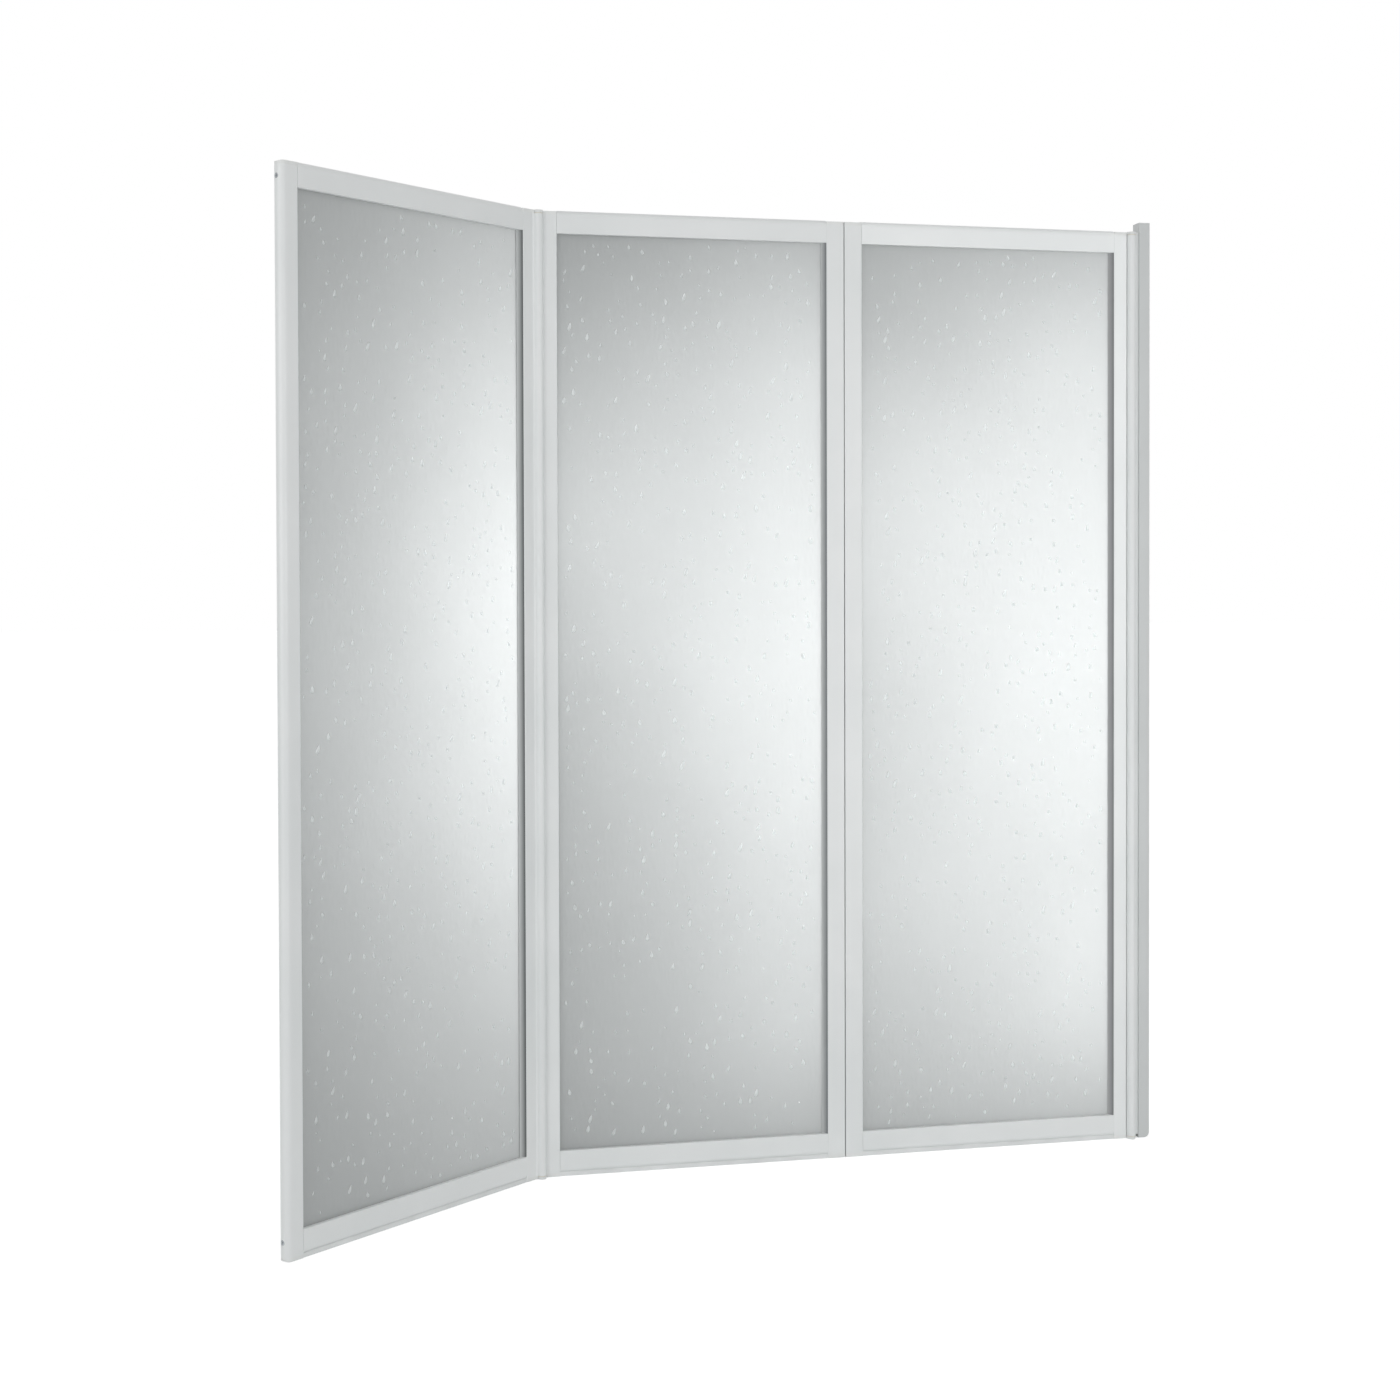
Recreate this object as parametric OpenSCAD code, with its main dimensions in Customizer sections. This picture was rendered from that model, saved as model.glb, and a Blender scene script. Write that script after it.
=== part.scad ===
// Folding bath screen: three framed panes hinged in a zigzag from a wall profile.
// The wall is the plane x = 0. The screen runs towards -X, its front faces -Y and z = 0 is the bath rim.
// Every panel is drawn flat in line with the wall profile, then swung about its hinge axis.

/* [Overall] */
// Height of the wall profile with its caps, the nominal height of the screen
wall_profile_h = 1400; // [1200:10:1600]
// How far the crowns of the top rails stop below the top of the wall profile
head_room = 13; // [11:1:40]
// Clear width of a pane between its two stiles
daylight_w = 400; // [250:5:500]
// Distance from the wall to the axis of the wall hinge
wall_axis = 30; // [29:0.5:34]

/* [Pose as drawn] */
// Swing of the inner panel away from square to the wall, towards the front
inner_swing_angle = 0; // [0:1:90]
// Fold of the middle panel on the inner one, towards the rear
middle_fold_angle = 0; // [0:1:178]
// Fold of the outer panel on the middle one, towards the front
outer_fold_angle = 38; // [0:1:178]

/* [Frame profiles] */
// Depth of every frame profile, front to rear
frame_d = 18; // [16:0.5:24]
// Height of the top and bottom rails, crown to pane
rail_h = 33.5; // [32:0.5:60]
// Width of the stile at the free end, crown to pane
free_stile_w = 27; // [21:0.5:40]
// Distance from a hinge axis to the pane beside it
hinge_stile_w = 27; // [26:0.5:45]
// Wall thickness of the extrusions
wall_t = 1.5; // [1.2:0.1:2]
// Depth of the glazing groove
groove_deep = 8; // [7.5:0.5:10]
// Rounding of the frame's edges along the pane
edge_r = 1; // [0.3:0.1:1.4]
// How far the stiles with their caps stop below the crown of the top rail
stile_set_down = 2; // [0:0.5:5]
// Thickness of the hinge brackets and end caps on the stiles
cap_t = 5; // [4:0.5:8]
// Rounding of the corners at the free end
corner_r = 4.5; // [1:0.5:4.5]

/* [Glazing] */
// Thickness of the plastic panes
pane_t = 3; // [2:0.5:4]
// How far a pane reaches into the grooves
pane_cover = 6.5; // [5:0.5:6.5]
// Wall of the glazing strips and of the dark gasket inside the groove
strip_t = 1; // [0.8:0.1:1.5]
// Width of the dark gasket that shows beside the right stile
gasket_w = 7; // [5:0.5:15]
// How far the thick side of the gasket stays behind the frame's face
gasket_set_back = 1; // [0.5:0.5:5]
// How far the gasket stands on the pane at its free edge
gasket_tip_t = 0.8; // [0.4:0.1:1.2]

/* [Bottom seals] */
// How far the lip hangs below the crown of the bottom rail
seal_drop = 3; // [2:0.5:6]
// How far the sides of the seal stay behind the frame's faces
seal_set_back = 1; // [0.5:0.5:3]
// Height of the seal's sides, from the bath rim up the crown
seal_side_h = 6; // [4:0.5:8]
// Width of the two lips that stand on the bath rim
seal_lip_w = 2; // [1:0.1:3]
// Diameter of the bead that holds the seal in the rail
seal_bead_d = 3.2; // [2.4:0.2:4]
// Thickness of the stem between the bead and the saddle
seal_web_t = 1.4; // [0.8:0.1:2]

/* [Hinges] */
// How far a hinge axis stands in front of the frame's face
hinge_out = 3; // [2:0.25:4]
// Outside diameter of the hinge tubes
tube_d = 13; // [12:0.5:14]
// Bore of the hinge tubes
tube_bore_d = 9; // [8:0.25:9.5]
// Distance from the axis plane to the edge of the stile that carries the tube
tube_stile_back = 0.5; // [0.3:0.1:0.8]
// Distance from the axis plane to the edge of the stile that swings round the tube
notch_stile_back = 1; // [0.8:0.1:1.5]
// Gap between a tube and the notch that swings round it
turn_gap = 0.5; // [0.35:0.05:0.8]
// Diameter of the pivot pins
pin_d = 6; // [4:0.5:6]
// Length of the bushes below their flange
bush_len = 12; // [8:1:16]
// Thickness of the bushes' flange
bush_flange_t = 1; // [0.8:0.1:1.5]
// Width of the seal strip in the notch
hinge_seal_w = 2.8; // [2:0.1:3.5]
// Depth of the groove that holds the seal strip
hinge_seal_deep = 2.5; // [1.5:0.1:3]

/* [Wall and adjusting profiles] */
// How far the wall profile stands off the wall
wall_profile_w = 17.5; // [15:0.5:18]
// Thickness of the wall profile's flanges
flange_t = 1.7; // [1.5:0.1:3]
// Thickness of the wall profile's back web
web_t = 2; // [1.5:0.1:3]
// Height of the wall profile's end caps
wall_cap_h = 8; // [6:0.5:10]
// Rounding of the bottom cap's corner at the wall
wall_corner_r = 8; // [1:0.5:8]
// Distance from the wall to the inner edges of the adjusting profile's legs
leg_back = 6; // [5.5:0.5:8]
// Number of screw holes in the back web
wall_hole_count = 4; // [2:1:6]
// Distance between neighbouring screw holes
wall_hole_step = 400; // [200:10:400]
// Diameter of the screw holes
wall_hole_d = 5; // [4:0.5:6]
// Distance between neighbouring clamp screws
clamp_step = 550; // [300:10:600]

/* [Fasteners] */
// Shank diameter of the corner, bracket and clamp screws
screw_d = 3.5; // [3:0.1:4]
// Head diameter of the screws
screw_head_d = 7; // [6:0.25:7.5]
// Length of thread in the screw ports
screw_grip = 16; // [10:1:24]

/* [Hidden] */
$fn = 48;
slide_gap = 0.3;                     // between the wall profile and what slides in it
glazing_gap = 0.3;                   // between a groove and the strip in it
seat_gap = 0.05;                     // between pieces that are pushed or pressed together
plug_gap = 0.2;                      // between a cap's plug and the chamber round it
bush_play = 0.05;                    // radial play of a pin in its bush
end_gap = 0.3;                       // between a bush's flange and the bracket over it
foot_gap = 1;                        // between the adjusting profile's end and the floor of the foot
over = 1;                            // how far a cutting tool passes the surface it cuts

panel_h = wall_profile_h - head_room;
rail_bottom = seal_drop;
stile_bottom = cap_t;
stile_top = panel_h - stile_set_down - cap_t;
stile_len = stile_top - stile_bottom;
half_d = frame_d / 2;

panel_pitch = daylight_w + 2 * hinge_stile_w;
axis_v = half_d + hinge_out;
tube_r = tube_d / 2;
notch_r = tube_r + turn_gap;
seal_angle = 53;                     // direction of the hinge seal seen from the axis
seal_wall_r = notch_r + hinge_seal_deep + wall_t;

pane_w = daylight_w + 2 * pane_cover;
daylight_bottom = rail_bottom + rail_h;
daylight_top = panel_h - rail_h;
pane_h = daylight_top - daylight_bottom + 2 * pane_cover;
groove_w = pane_t + 2 * (strip_t + glazing_gap);

port_bore_d = screw_d + 2 * seat_gap;
port_wall_t = 1.3;                   // wall of the round screw ports
port_r = port_bore_d / 2 + port_wall_t;
port_sink = 0.5;                     // how far a screw port is sunk in the wall behind the groove
port_back = groove_deep + wall_t + port_r - port_sink;
screw_hole_d = screw_d + 0.4;        // the stiles' holes let the thread through
head_gap = 0.15;                     // round a countersunk head
screw_cone_h = (screw_head_d - screw_d) / 2;
screw_levels = [rail_bottom + rail_h - port_back, panel_h - rail_h + port_back];
nose_head_sink = 0.9;                // the heads lie below the crown of the free stile
edge_head_sink = 0.1;

wall_profile_d = frame_d + 2 * slide_gap + 2 * flange_t;
wall_channel_d = frame_d + 2 * slide_gap;
inward_travel = 3;                   // how far the adjusting profile can be pushed in
foot_reach = wall_axis - wall_profile_w - inward_travel - slide_gap;
leg_reach = wall_axis - leg_back;
wall_hole_first = (wall_profile_h - (wall_hole_count - 1) * wall_hole_step) / 2;
clamp_x = -wall_profile_w + screw_head_d / 2 + 1;
clamp_levels = [wall_profile_h / 2 - clamp_step, wall_profile_h / 2, wall_profile_h / 2 + clamp_step];

bead_at = seal_bead_d / 2 + wall_t;
plug_h = 8;                          // how far the caps and brackets reach into a profile
ear_recess_h = bush_flange_t + end_gap;
bracket_screw_grip = 9;
bracket_screw_len = cap_t + bracket_screw_grip;

lacquer = "WhiteSmoke";
moulding = "White";
dark_rubber = "DimGray";
soft_seal = "Gainsboro";
glass_plastic = [0.72, 0.76, 0.76, 0.75];
steel = "Silver";
nylon = "Ivory";

// ---- Placing: panel 0 is the inner one, 1 the middle one and 2 the outer one ----

// Where the hinge axis on the wall's side of a panel lies while the screen is flat
function axis_x(panel) = -wall_axis - panel * panel_pitch;
function daylight_right(panel) = axis_x(panel) - hinge_stile_w;
function daylight_left(panel) = daylight_right(panel) - daylight_w;

// Turns the children about the upright axis through [x, y]
module swing(x, y, angle) {
    translate([x, y, 0]) rotate([0, 0, angle]) translate([-x, -y, 0]) children();
}

module in_inner() {
    swing(axis_x(0), -axis_v, inner_swing_angle) children();
}

module in_middle() {
    in_inner() swing(axis_x(1), axis_v, -middle_fold_angle) children();
}

module in_outer() {
    in_middle() swing(axis_x(2), -axis_v, outer_fold_angle) children();
}

module in_panel(panel) {
    if (panel == 0) in_inner() children();
    if (panel == 1) in_middle() children();
    if (panel == 2) in_outer() children();
}

// A hinge's own frame: x runs from the axis into the panel, y from mid-depth, the tube lies at -y.
// side is 1 for the panel's left edge and -1 for its right edge; front is 1 or -1 for the tube's side.
module at_edge(x, side, front) {
    translate([x, 0, 0])
        mirror([side < 0 ? 1 : 0, 0, 0])
            mirror([0, front < 0 ? 1 : 0, 0])
                children();
}

// The three hinges: at_notch places what swings round the tube, at_tube what carries the tube
module at_notch(hinge) {
    if (hinge == 0) in_inner() at_edge(axis_x(0), -1, 1) children();
    if (hinge == 1) in_middle() at_edge(axis_x(1), -1, -1) children();
    if (hinge == 2) in_middle() at_edge(axis_x(2), 1, 1) children();
}

module at_tube(hinge) {
    if (hinge == 0) at_edge(axis_x(0), 1, 1) children();
    if (hinge == 1) in_inner() at_edge(axis_x(1), 1, -1) children();
    if (hinge == 2) in_outer() at_edge(axis_x(2), -1, 1) children();
}

// Where the free stile's crown starts
module at_free_end() {
    translate([daylight_left(2) - free_stile_w, 0, 0]) children();
}

// The ends of a stile, each with z pointing out of the profile
module at_top_end() {
    translate([0, 0, stile_top]) children();
}

module at_bottom_end() {
    translate([0, 0, stile_bottom]) mirror([0, 0, 1]) children();
}

module at_both_ends() {
    at_top_end() children();
    at_bottom_end() children();
}

// ---- Sections of the frame profiles ----

// Closes a half outline with its mirror image about the x axis
function both_sides(half) =
    concat(half, [for (i = [len(half) - 1 : -1 : 0]) if (half[i][1] != 0) [half[i][0], -half[i][1]]]);

// Plain part of a profile from x = from to the pane at x = to, its edges along the pane rounded
module profile_body(from, to) {
    translate([from, -half_d]) square([to - edge_r - from, frame_d]);
    translate([from, edge_r - half_d]) square([to - from, frame_d - 2 * edge_r]);
    for (side = [-1, 1])
        translate([to - edge_r, side * (half_d - edge_r)]) circle(r = edge_r);
}

// Half-round crown of a profile that starts at x = 0
module crown(radius) {
    translate([half_d, 0]) circle(r = radius);
}

// The glazing groove and the two small chambers beside it, for a profile that ends at x = to
module glazing_side(to) {
    lip_from = groove_w / 2 + wall_t;
    lip_to = half_d - wall_t;
    translate([to - groove_deep, -groove_w / 2]) square([groove_deep + over, groove_w]);
    for (side = [0, 1])
        mirror([0, side, 0])
            translate([to - groove_deep, lip_from])
                square([groove_deep - wall_t, lip_to - lip_from]);
}

// Inner space between x = from and the wall behind the groove, drawn smaller by inset
module chamber(from, to, inset) {
    back = to - groove_deep - wall_t;
    translate([from + wall_t + inset, -half_d + wall_t + inset])
        square([back - from - wall_t - 2 * inset, frame_d - 2 * wall_t - 2 * inset]);
}

module around_axis(radius) {
    translate([0, -axis_v]) circle(r = radius);
}

// Where the seal strip sits in the notch, from the radius near the axis outwards
module seal_slot(width, near, far) {
    translate([0, -axis_v]) rotate(seal_angle)
        translate([near, -width / 2]) square([far - near, width]);
}

// Chamber of a stile with a notch: it keeps clear of the notch and of the screw port
module notch_stile_chamber(inset) {
    difference() {
        chamber(notch_stile_back, hinge_stile_w, inset);
        around_axis(seal_wall_r + inset);
        translate([hinge_stile_w - port_back, 0]) circle(r = port_r + inset);
    }
}

module notch_stile_section() {
    difference() {
        profile_body(notch_stile_back, hinge_stile_w);
        around_axis(notch_r);
        seal_slot(hinge_seal_w + 2 * seat_gap, notch_r - over, notch_r + hinge_seal_deep);
        notch_stile_chamber(0);
        translate([hinge_stile_w - port_back, 0]) circle(d = port_bore_d);
        glazing_side(hinge_stile_w);
    }
}

module tube_stile_chamber(inset) {
    difference() {
        chamber(tube_stile_back, hinge_stile_w, inset);
        around_axis(tube_r + inset);
    }
}

// Tube stile without its tube: a fillet as wide as the tube stands out leads from the tube to the face
module tube_stile_body() {
    profile_body(tube_stile_back, hinge_stile_w);
    difference() {
        translate([tube_stile_back, -axis_v]) square([tube_r + hinge_out - tube_stile_back, axis_v]);
        translate([tube_r + hinge_out, -axis_v]) circle(r = hinge_out);
    }
}

module tube_stile_section() {
    difference() {
        union() {
            tube_stile_body();
            around_axis(tube_r);
        }
        around_axis(tube_bore_d / 2);
        tube_stile_chamber(0);
        glazing_side(hinge_stile_w);
    }
}

module free_stile_outline() {
    crown(half_d);
    profile_body(half_d, free_stile_w);
}

// Chamber of a crowned profile, drawn smaller by inset
module crowned_chamber(to, inset) {
    crown(half_d - wall_t - inset);
    chamber(half_d - wall_t - inset, to, inset);
}

module free_stile_section() {
    difference() {
        free_stile_outline();
        crowned_chamber(free_stile_w, 0);
        glazing_side(free_stile_w);
    }
}

// Rail with its crown at x = 0 and its screw port behind the groove
module rail_section() {
    difference() {
        union() {
            crown(half_d);
            profile_body(half_d, rail_h);
        }
        difference() {
            crowned_chamber(rail_h, 0);
            translate([rail_h - port_back, 0]) circle(r = port_r);
        }
        translate([rail_h - port_back, 0]) circle(d = port_bore_d);
        glazing_side(rail_h);
    }
}

// ---- Fasteners: each lies along +Z with the top of its head at z = 0 and its shank below ----

module countersunk_screw(length) {
    recess_w = 0.9;
    recess_deep = 1.2;
    recess_l = screw_head_d * 0.5;
    difference() {
        union() {
            translate([0, 0, -screw_cone_h]) cylinder(d1 = screw_d, d2 = screw_head_d, h = screw_cone_h);
            translate([0, 0, -length]) cylinder(d = screw_d, h = length - screw_cone_h / 2);
        }
        for (turn = [0, 90])
            rotate([0, 0, turn])
                translate([-recess_l / 2, -recess_w / 2, -recess_deep])
                    cube([recess_l, recess_w, recess_deep + over]);
    }
}

module countersunk_hole(length) {
    mouth_d = screw_head_d + 2 * head_gap;
    cone_h = (mouth_d - screw_hole_d) / 2;
    translate([0, 0, -cone_h]) cylinder(d1 = screw_hole_d, d2 = mouth_d, h = cone_h);
    cylinder(d = mouth_d, h = over);
    translate([0, 0, -length]) cylinder(d = screw_hole_d, h = length);
}

// Turns a fastener so that its head is at the profile's outer edge and its shank runs along +X
module along_x() {
    rotate([0, -90, 0]) children();
}

// ---- Stiles and rails ----

module stile(section_width, edge, head_sink) {
    difference() {
        translate([0, 0, stile_bottom]) linear_extrude(height = stile_len) children();
        for (level = screw_levels)
            translate([edge + head_sink, 0, level])
                along_x() countersunk_hole(section_width);
    }
}

module notch_stile() {
    color(lacquer) stile(hinge_stile_w, notch_stile_back, edge_head_sink) notch_stile_section();
}

module tube_stile() {
    color(lacquer) stile(hinge_stile_w, tube_stile_back, edge_head_sink) tube_stile_section();
}

module free_stile() {
    color(lacquer) stile(free_stile_w, 0, nose_head_sink) free_stile_section();
}

// Lays a section whose x runs from the crown to the pane along the rail, between the stiles
module along_rail(panel, length) {
    translate([daylight_left(panel), 0, 0])
        rotate([90, 0, 90])
            linear_extrude(height = length)
                rotate(90) mirror([0, 1, 0]) children();
}

module top_rail(panel) {
    color(lacquer)
        translate([0, 0, panel_h]) mirror([0, 0, 1])
            along_rail(panel, daylight_w) rail_section();
}

module bottom_rail(panel) {
    bead_hole_d = seal_bead_d + 2 * seat_gap;
    color(lacquer)
        translate([0, 0, rail_bottom])
            along_rail(panel, daylight_w)
                difference() {
                    union() {
                        rail_section();
                        translate([bead_at, 0]) circle(d = bead_hole_d + 2 * wall_t);
                    }
                    translate([bead_at, 0]) circle(d = bead_hole_d);
                    translate([-over, -seal_web_t / 2 - seat_gap])
                        square([bead_at + over, seal_web_t + 2 * seat_gap]);
                }
}

// Saddle that hugs the rail's crown and stands on two lips, with a shallow arch between them
module seal_saddle_section() {
    arch_h = 1;
    side = half_d - seal_set_back;
    arch = side - seal_lip_w;
    difference() {
        translate([-seal_drop, -side]) square([seal_side_h, 2 * side]);
        crown(half_d + seat_gap);
        polygon(both_sides([
            [-seal_drop - over, arch],
            [-seal_drop, arch],
            [-seal_drop + arch_h, arch - arch_h]
        ]));
    }
}

// Push-in seal: a bead in the rail and a stem that carries the saddle
module bottom_seal(panel) {
    stem_sink = 0.5;
    color(soft_seal)
        translate([0, 0, rail_bottom])
            along_rail(panel, daylight_w) {
                translate([bead_at, 0]) circle(d = seal_bead_d);
                translate([-stem_sink, -seal_web_t / 2]) square([bead_at + stem_sink, seal_web_t]);
                seal_saddle_section();
            }
}

// ---- Glazing ----

module pane(panel) {
    color(glass_plastic)
        translate([daylight_left(panel) - pane_cover, -pane_t / 2, daylight_bottom - pane_cover])
            cube([pane_w, pane_t, pane_h]);
}

// Channel round one straight edge of the pane: x runs out of the pane, its edge is at x = 0
module strip_section() {
    leg = pane_cover - 0.5;
    inside = pane_t / 2 + seat_gap;
    outside = pane_t / 2 + strip_t;
    polygon(both_sides([[seat_gap, inside], [-leg, inside], [-leg, outside], [strip_t, outside]]));
}

// White glazing strips on the left, top and bottom edges of the pane
module glazing_strips(panel) {
    pane_left = daylight_left(panel) - pane_cover;
    pane_bottom = daylight_bottom - pane_cover;
    across = pane_w - pane_cover + strip_t;
    color(soft_seal) {
        translate([pane_left, 0, pane_bottom])
            linear_extrude(height = pane_h) mirror([1, 0, 0]) strip_section();
        translate([pane_left + pane_cover, 0, pane_bottom + pane_h])
            rotate([90, 0, 90]) linear_extrude(height = across) rotate(90) strip_section();
        translate([pane_left + pane_cover, 0, pane_bottom])
            rotate([90, 0, 90]) linear_extrude(height = across) rotate(-90) strip_section();
    }
}

// Dark gasket: it wraps the pane's right edge inside the groove and widens to two lips on the pane
module gasket(panel) {
    inside = pane_t / 2 + seat_gap;
    root = half_d - gasket_set_back;
    tip = pane_t / 2 + gasket_tip_t;
    foot = pane_t / 2 + strip_t;
    stand_off = 0.1;
    root_flat = 0.8;
    tip_bevel = 0.3;
    color(dark_rubber)
        translate([daylight_right(panel), 0, daylight_bottom])
            linear_extrude(height = daylight_top - daylight_bottom)
                polygon(both_sides([
                    [pane_cover + seat_gap, inside],
                    [-gasket_w, inside],
                    [-gasket_w, tip - tip_bevel],
                    [-gasket_w + 2 * tip_bevel, tip],
                    [-stand_off - root_flat, root],
                    [-stand_off, root],
                    [-stand_off, foot],
                    [pane_cover + strip_t, foot]
                ]));
}

module corner_screws(panel) {
    color(steel)
        in_panel(panel)
            for (level = screw_levels) {
                right_back = panel == 2 ? tube_stile_back : notch_stile_back;
                right_edge = axis_x(panel) - right_back - edge_head_sink;
                left_back = panel == 0 ? tube_stile_back : notch_stile_back;
                left_edge = panel == 2
                    ? daylight_left(2) - free_stile_w + nose_head_sink
                    : axis_x(panel + 1) + left_back + edge_head_sink;
                translate([right_edge, 0, level])
                    mirror([1, 0, 0]) along_x()
                        countersunk_screw(right_edge - daylight_right(panel) + screw_grip);
                translate([left_edge, 0, level])
                    along_x()
                        countersunk_screw(daylight_left(panel) - left_edge + screw_grip);
            }
}

// ---- Hinges ----

// Moulded end of a notched stile: plate, plug and the ear that reaches over the tube
module hinge_bracket() {
    screw_x = hinge_stile_w - port_back;
    color(moulding)
        difference() {
            union() {
                linear_extrude(height = cap_t) {
                    profile_body(notch_stile_back, hinge_stile_w);
                    around_axis(tube_r);
                }
                translate([0, 0, -plug_h])
                    linear_extrude(height = plug_h + over) notch_stile_chamber(plug_gap);
            }
            translate([0, -axis_v, -over]) cylinder(r = notch_r, h = ear_recess_h + over);
            translate([0, -axis_v, 0]) cylinder(d = pin_d, h = cap_t + over);
            translate([screw_x, 0, cap_t]) countersunk_hole(cap_t + over);
        }
}

module hinge_pin() {
    chamfer = 0.5;
    color(steel)
        translate([0, -axis_v, -bush_len + over]) {
            translate([0, 0, chamfer]) cylinder(d = pin_d, h = bush_len - over + cap_t - chamfer);
            cylinder(d1 = pin_d - 2 * chamfer, d2 = pin_d, h = chamfer);
        }
}

module bush() {
    flange_inset = 0.3;
    color(nylon)
        translate([0, -axis_v, 0])
            difference() {
                union() {
                    cylinder(r = tube_r - flange_inset, h = bush_flange_t);
                    translate([0, 0, -bush_len])
                        cylinder(d = tube_bore_d - 2 * seat_gap, h = bush_len + bush_flange_t / 2);
                }
                translate([0, 0, -bush_len - over])
                    cylinder(d = pin_d + 2 * bush_play, h = bush_len + bush_flange_t + 2 * over);
            }
}

module hinge_seal() {
    tip = notch_r - turn_gap + end_gap;
    color(soft_seal)
        translate([0, 0, stile_bottom])
            linear_extrude(height = stile_len)
                seal_slot(hinge_seal_w, tip, notch_r + hinge_seal_deep - seat_gap);
}

module bracket_screw() {
    color(steel)
        translate([hinge_stile_w - port_back, 0, cap_t - edge_head_sink])
            countersunk_screw(bracket_screw_len);
}

// Push-in cap on the end of a stile that carries a tube, cut back round the bracket's ear
module tube_stile_cap() {
    ear_clear_r = tube_r + turn_gap;
    color(moulding) {
        linear_extrude(height = cap_t)
            difference() {
                tube_stile_body();
                around_axis(ear_clear_r);
            }
        translate([0, 0, -plug_h])
            linear_extrude(height = plug_h) tube_stile_chamber(plug_gap);
    }
}

// Push-in cap of the free stile, rounded where its top meets the crown
module free_stile_cap() {
    color(moulding)
        union() {
            intersection() {
                linear_extrude(height = cap_t) free_stile_outline();
                translate([0, half_d + over, 0])
                    rotate([90, 0, 0])
                        linear_extrude(height = frame_d + 2 * over) {
                            square([free_stile_w, cap_t - corner_r]);
                            translate([corner_r, 0]) square([free_stile_w - corner_r, cap_t]);
                            translate([corner_r, cap_t - corner_r]) circle(r = corner_r);
                        }
            }
            translate([0, 0, -plug_h])
                linear_extrude(height = plug_h) crowned_chamber(free_stile_w, plug_gap);
        }
}

// ---- Wall profile and adjusting profile ----

module wall_channel(clear) {
    translate([-wall_profile_w - over, -wall_channel_d / 2 + clear])
        square([wall_profile_w - web_t + over - clear, wall_channel_d - 2 * clear]);
}

// Outline of the wall profile with its two front edges rounded
module wall_outline() {
    tip_r = flange_t / 2;
    for (side = [-1, 1])
        translate([-wall_profile_w + tip_r, side * (wall_profile_d / 2 - tip_r)]) circle(r = tip_r);
    translate([-wall_profile_w + tip_r, -wall_profile_d / 2])
        square([wall_profile_w - tip_r, wall_profile_d]);
    translate([-wall_profile_w, -wall_profile_d / 2 + tip_r])
        square([wall_profile_w, wall_profile_d - 2 * tip_r]);
}

module wall_profile_section() {
    tip_r = flange_t / 2;
    for (side = [-1, 1])
        translate([-wall_profile_w + tip_r, side * (wall_profile_d / 2 - tip_r)]) circle(r = tip_r);
    difference() {
        translate([-wall_profile_w + tip_r, -wall_profile_d / 2])
            square([wall_profile_w - tip_r, wall_profile_d]);
        wall_channel(0);
    }
}

module wall_profile() {
    color(lacquer)
        difference() {
            translate([0, 0, wall_cap_h])
                linear_extrude(height = wall_profile_h - 2 * wall_cap_h) wall_profile_section();
            for (i = [0 : wall_hole_count - 1])
                translate([-web_t - over, 0, wall_hole_first + i * wall_hole_step])
                    rotate([0, 90, 0]) cylinder(d = wall_hole_d, h = web_t + 2 * over);
            for (level = clamp_levels)
                translate([clamp_x, wall_channel_d / 2 - over, level])
                    rotate([-90, 0, 0]) cylinder(d = port_bore_d, h = flange_t + 2 * over);
        }
}

// Cap on the top of the wall profile: its plug closes the channel down to the adjusting profile
module wall_profile_cap_top() {
    cap_plug_h = head_room + stile_set_down - wall_cap_h - slide_gap;
    color(moulding) {
        translate([0, 0, wall_profile_h - wall_cap_h])
            linear_extrude(height = wall_cap_h) wall_outline();
        translate([0, 0, wall_profile_h - wall_cap_h - cap_plug_h])
            linear_extrude(height = cap_plug_h)
                intersection() {
                    wall_channel(plug_gap);
                    wall_outline();
                }
    }
}

// Foot of the wall profile: open at the top for the adjusting profile, rounded at the wall
module wall_profile_cap_bottom() {
    floor_t = stile_bottom - foot_gap;
    color(moulding)
        difference() {
            linear_extrude(height = wall_cap_h) wall_outline();
            translate([0, 0, floor_t]) linear_extrude(height = wall_cap_h) wall_channel(0);
            translate([0, wall_profile_d / 2 + over, 0])
                rotate([90, 0, 0])
                    linear_extrude(height = wall_profile_d + 2 * over)
                        difference() {
                            translate([-wall_corner_r, -over])
                                square([wall_corner_r + over, wall_corner_r + over]);
                            translate([-wall_corner_r, wall_corner_r]) circle(r = wall_corner_r);
                        }
        }
}

// Screws through the rear flange that clamp the adjusting profile
module clamp_screws() {
    head_h = 2.2;
    rim_h = head_h * 0.4;
    crown_d = screw_head_d * 0.55;
    color(steel)
        for (level = clamp_levels)
            translate([clamp_x, wall_channel_d / 2, level])
                rotate([-90, 0, 0]) {
                    cylinder(d = screw_d, h = flange_t + head_h / 2);
                    translate([0, 0, flange_t]) cylinder(d = screw_head_d, h = rim_h);
                    translate([0, 0, flange_t + rim_h])
                        cylinder(d1 = screw_head_d, d2 = crown_d, h = head_h - rim_h);
                }
}

// Channel that slides in the wall profile and carries the tube of the wall hinge
module adjusting_profile() {
    color(lacquer)
        at_edge(axis_x(0), 1, 1)
            translate([0, 0, stile_bottom])
                linear_extrude(height = stile_len)
                    difference() {
                        union() {
                            difference() {
                                translate([tube_stile_back, -half_d])
                                    square([leg_reach - tube_stile_back, frame_d]);
                                translate([tube_stile_back + wall_t, wall_t - half_d])
                                    square([wall_axis, frame_d - 2 * wall_t]);
                            }
                            around_axis(tube_r);
                        }
                        around_axis(tube_bore_d / 2);
                    }
}

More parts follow.
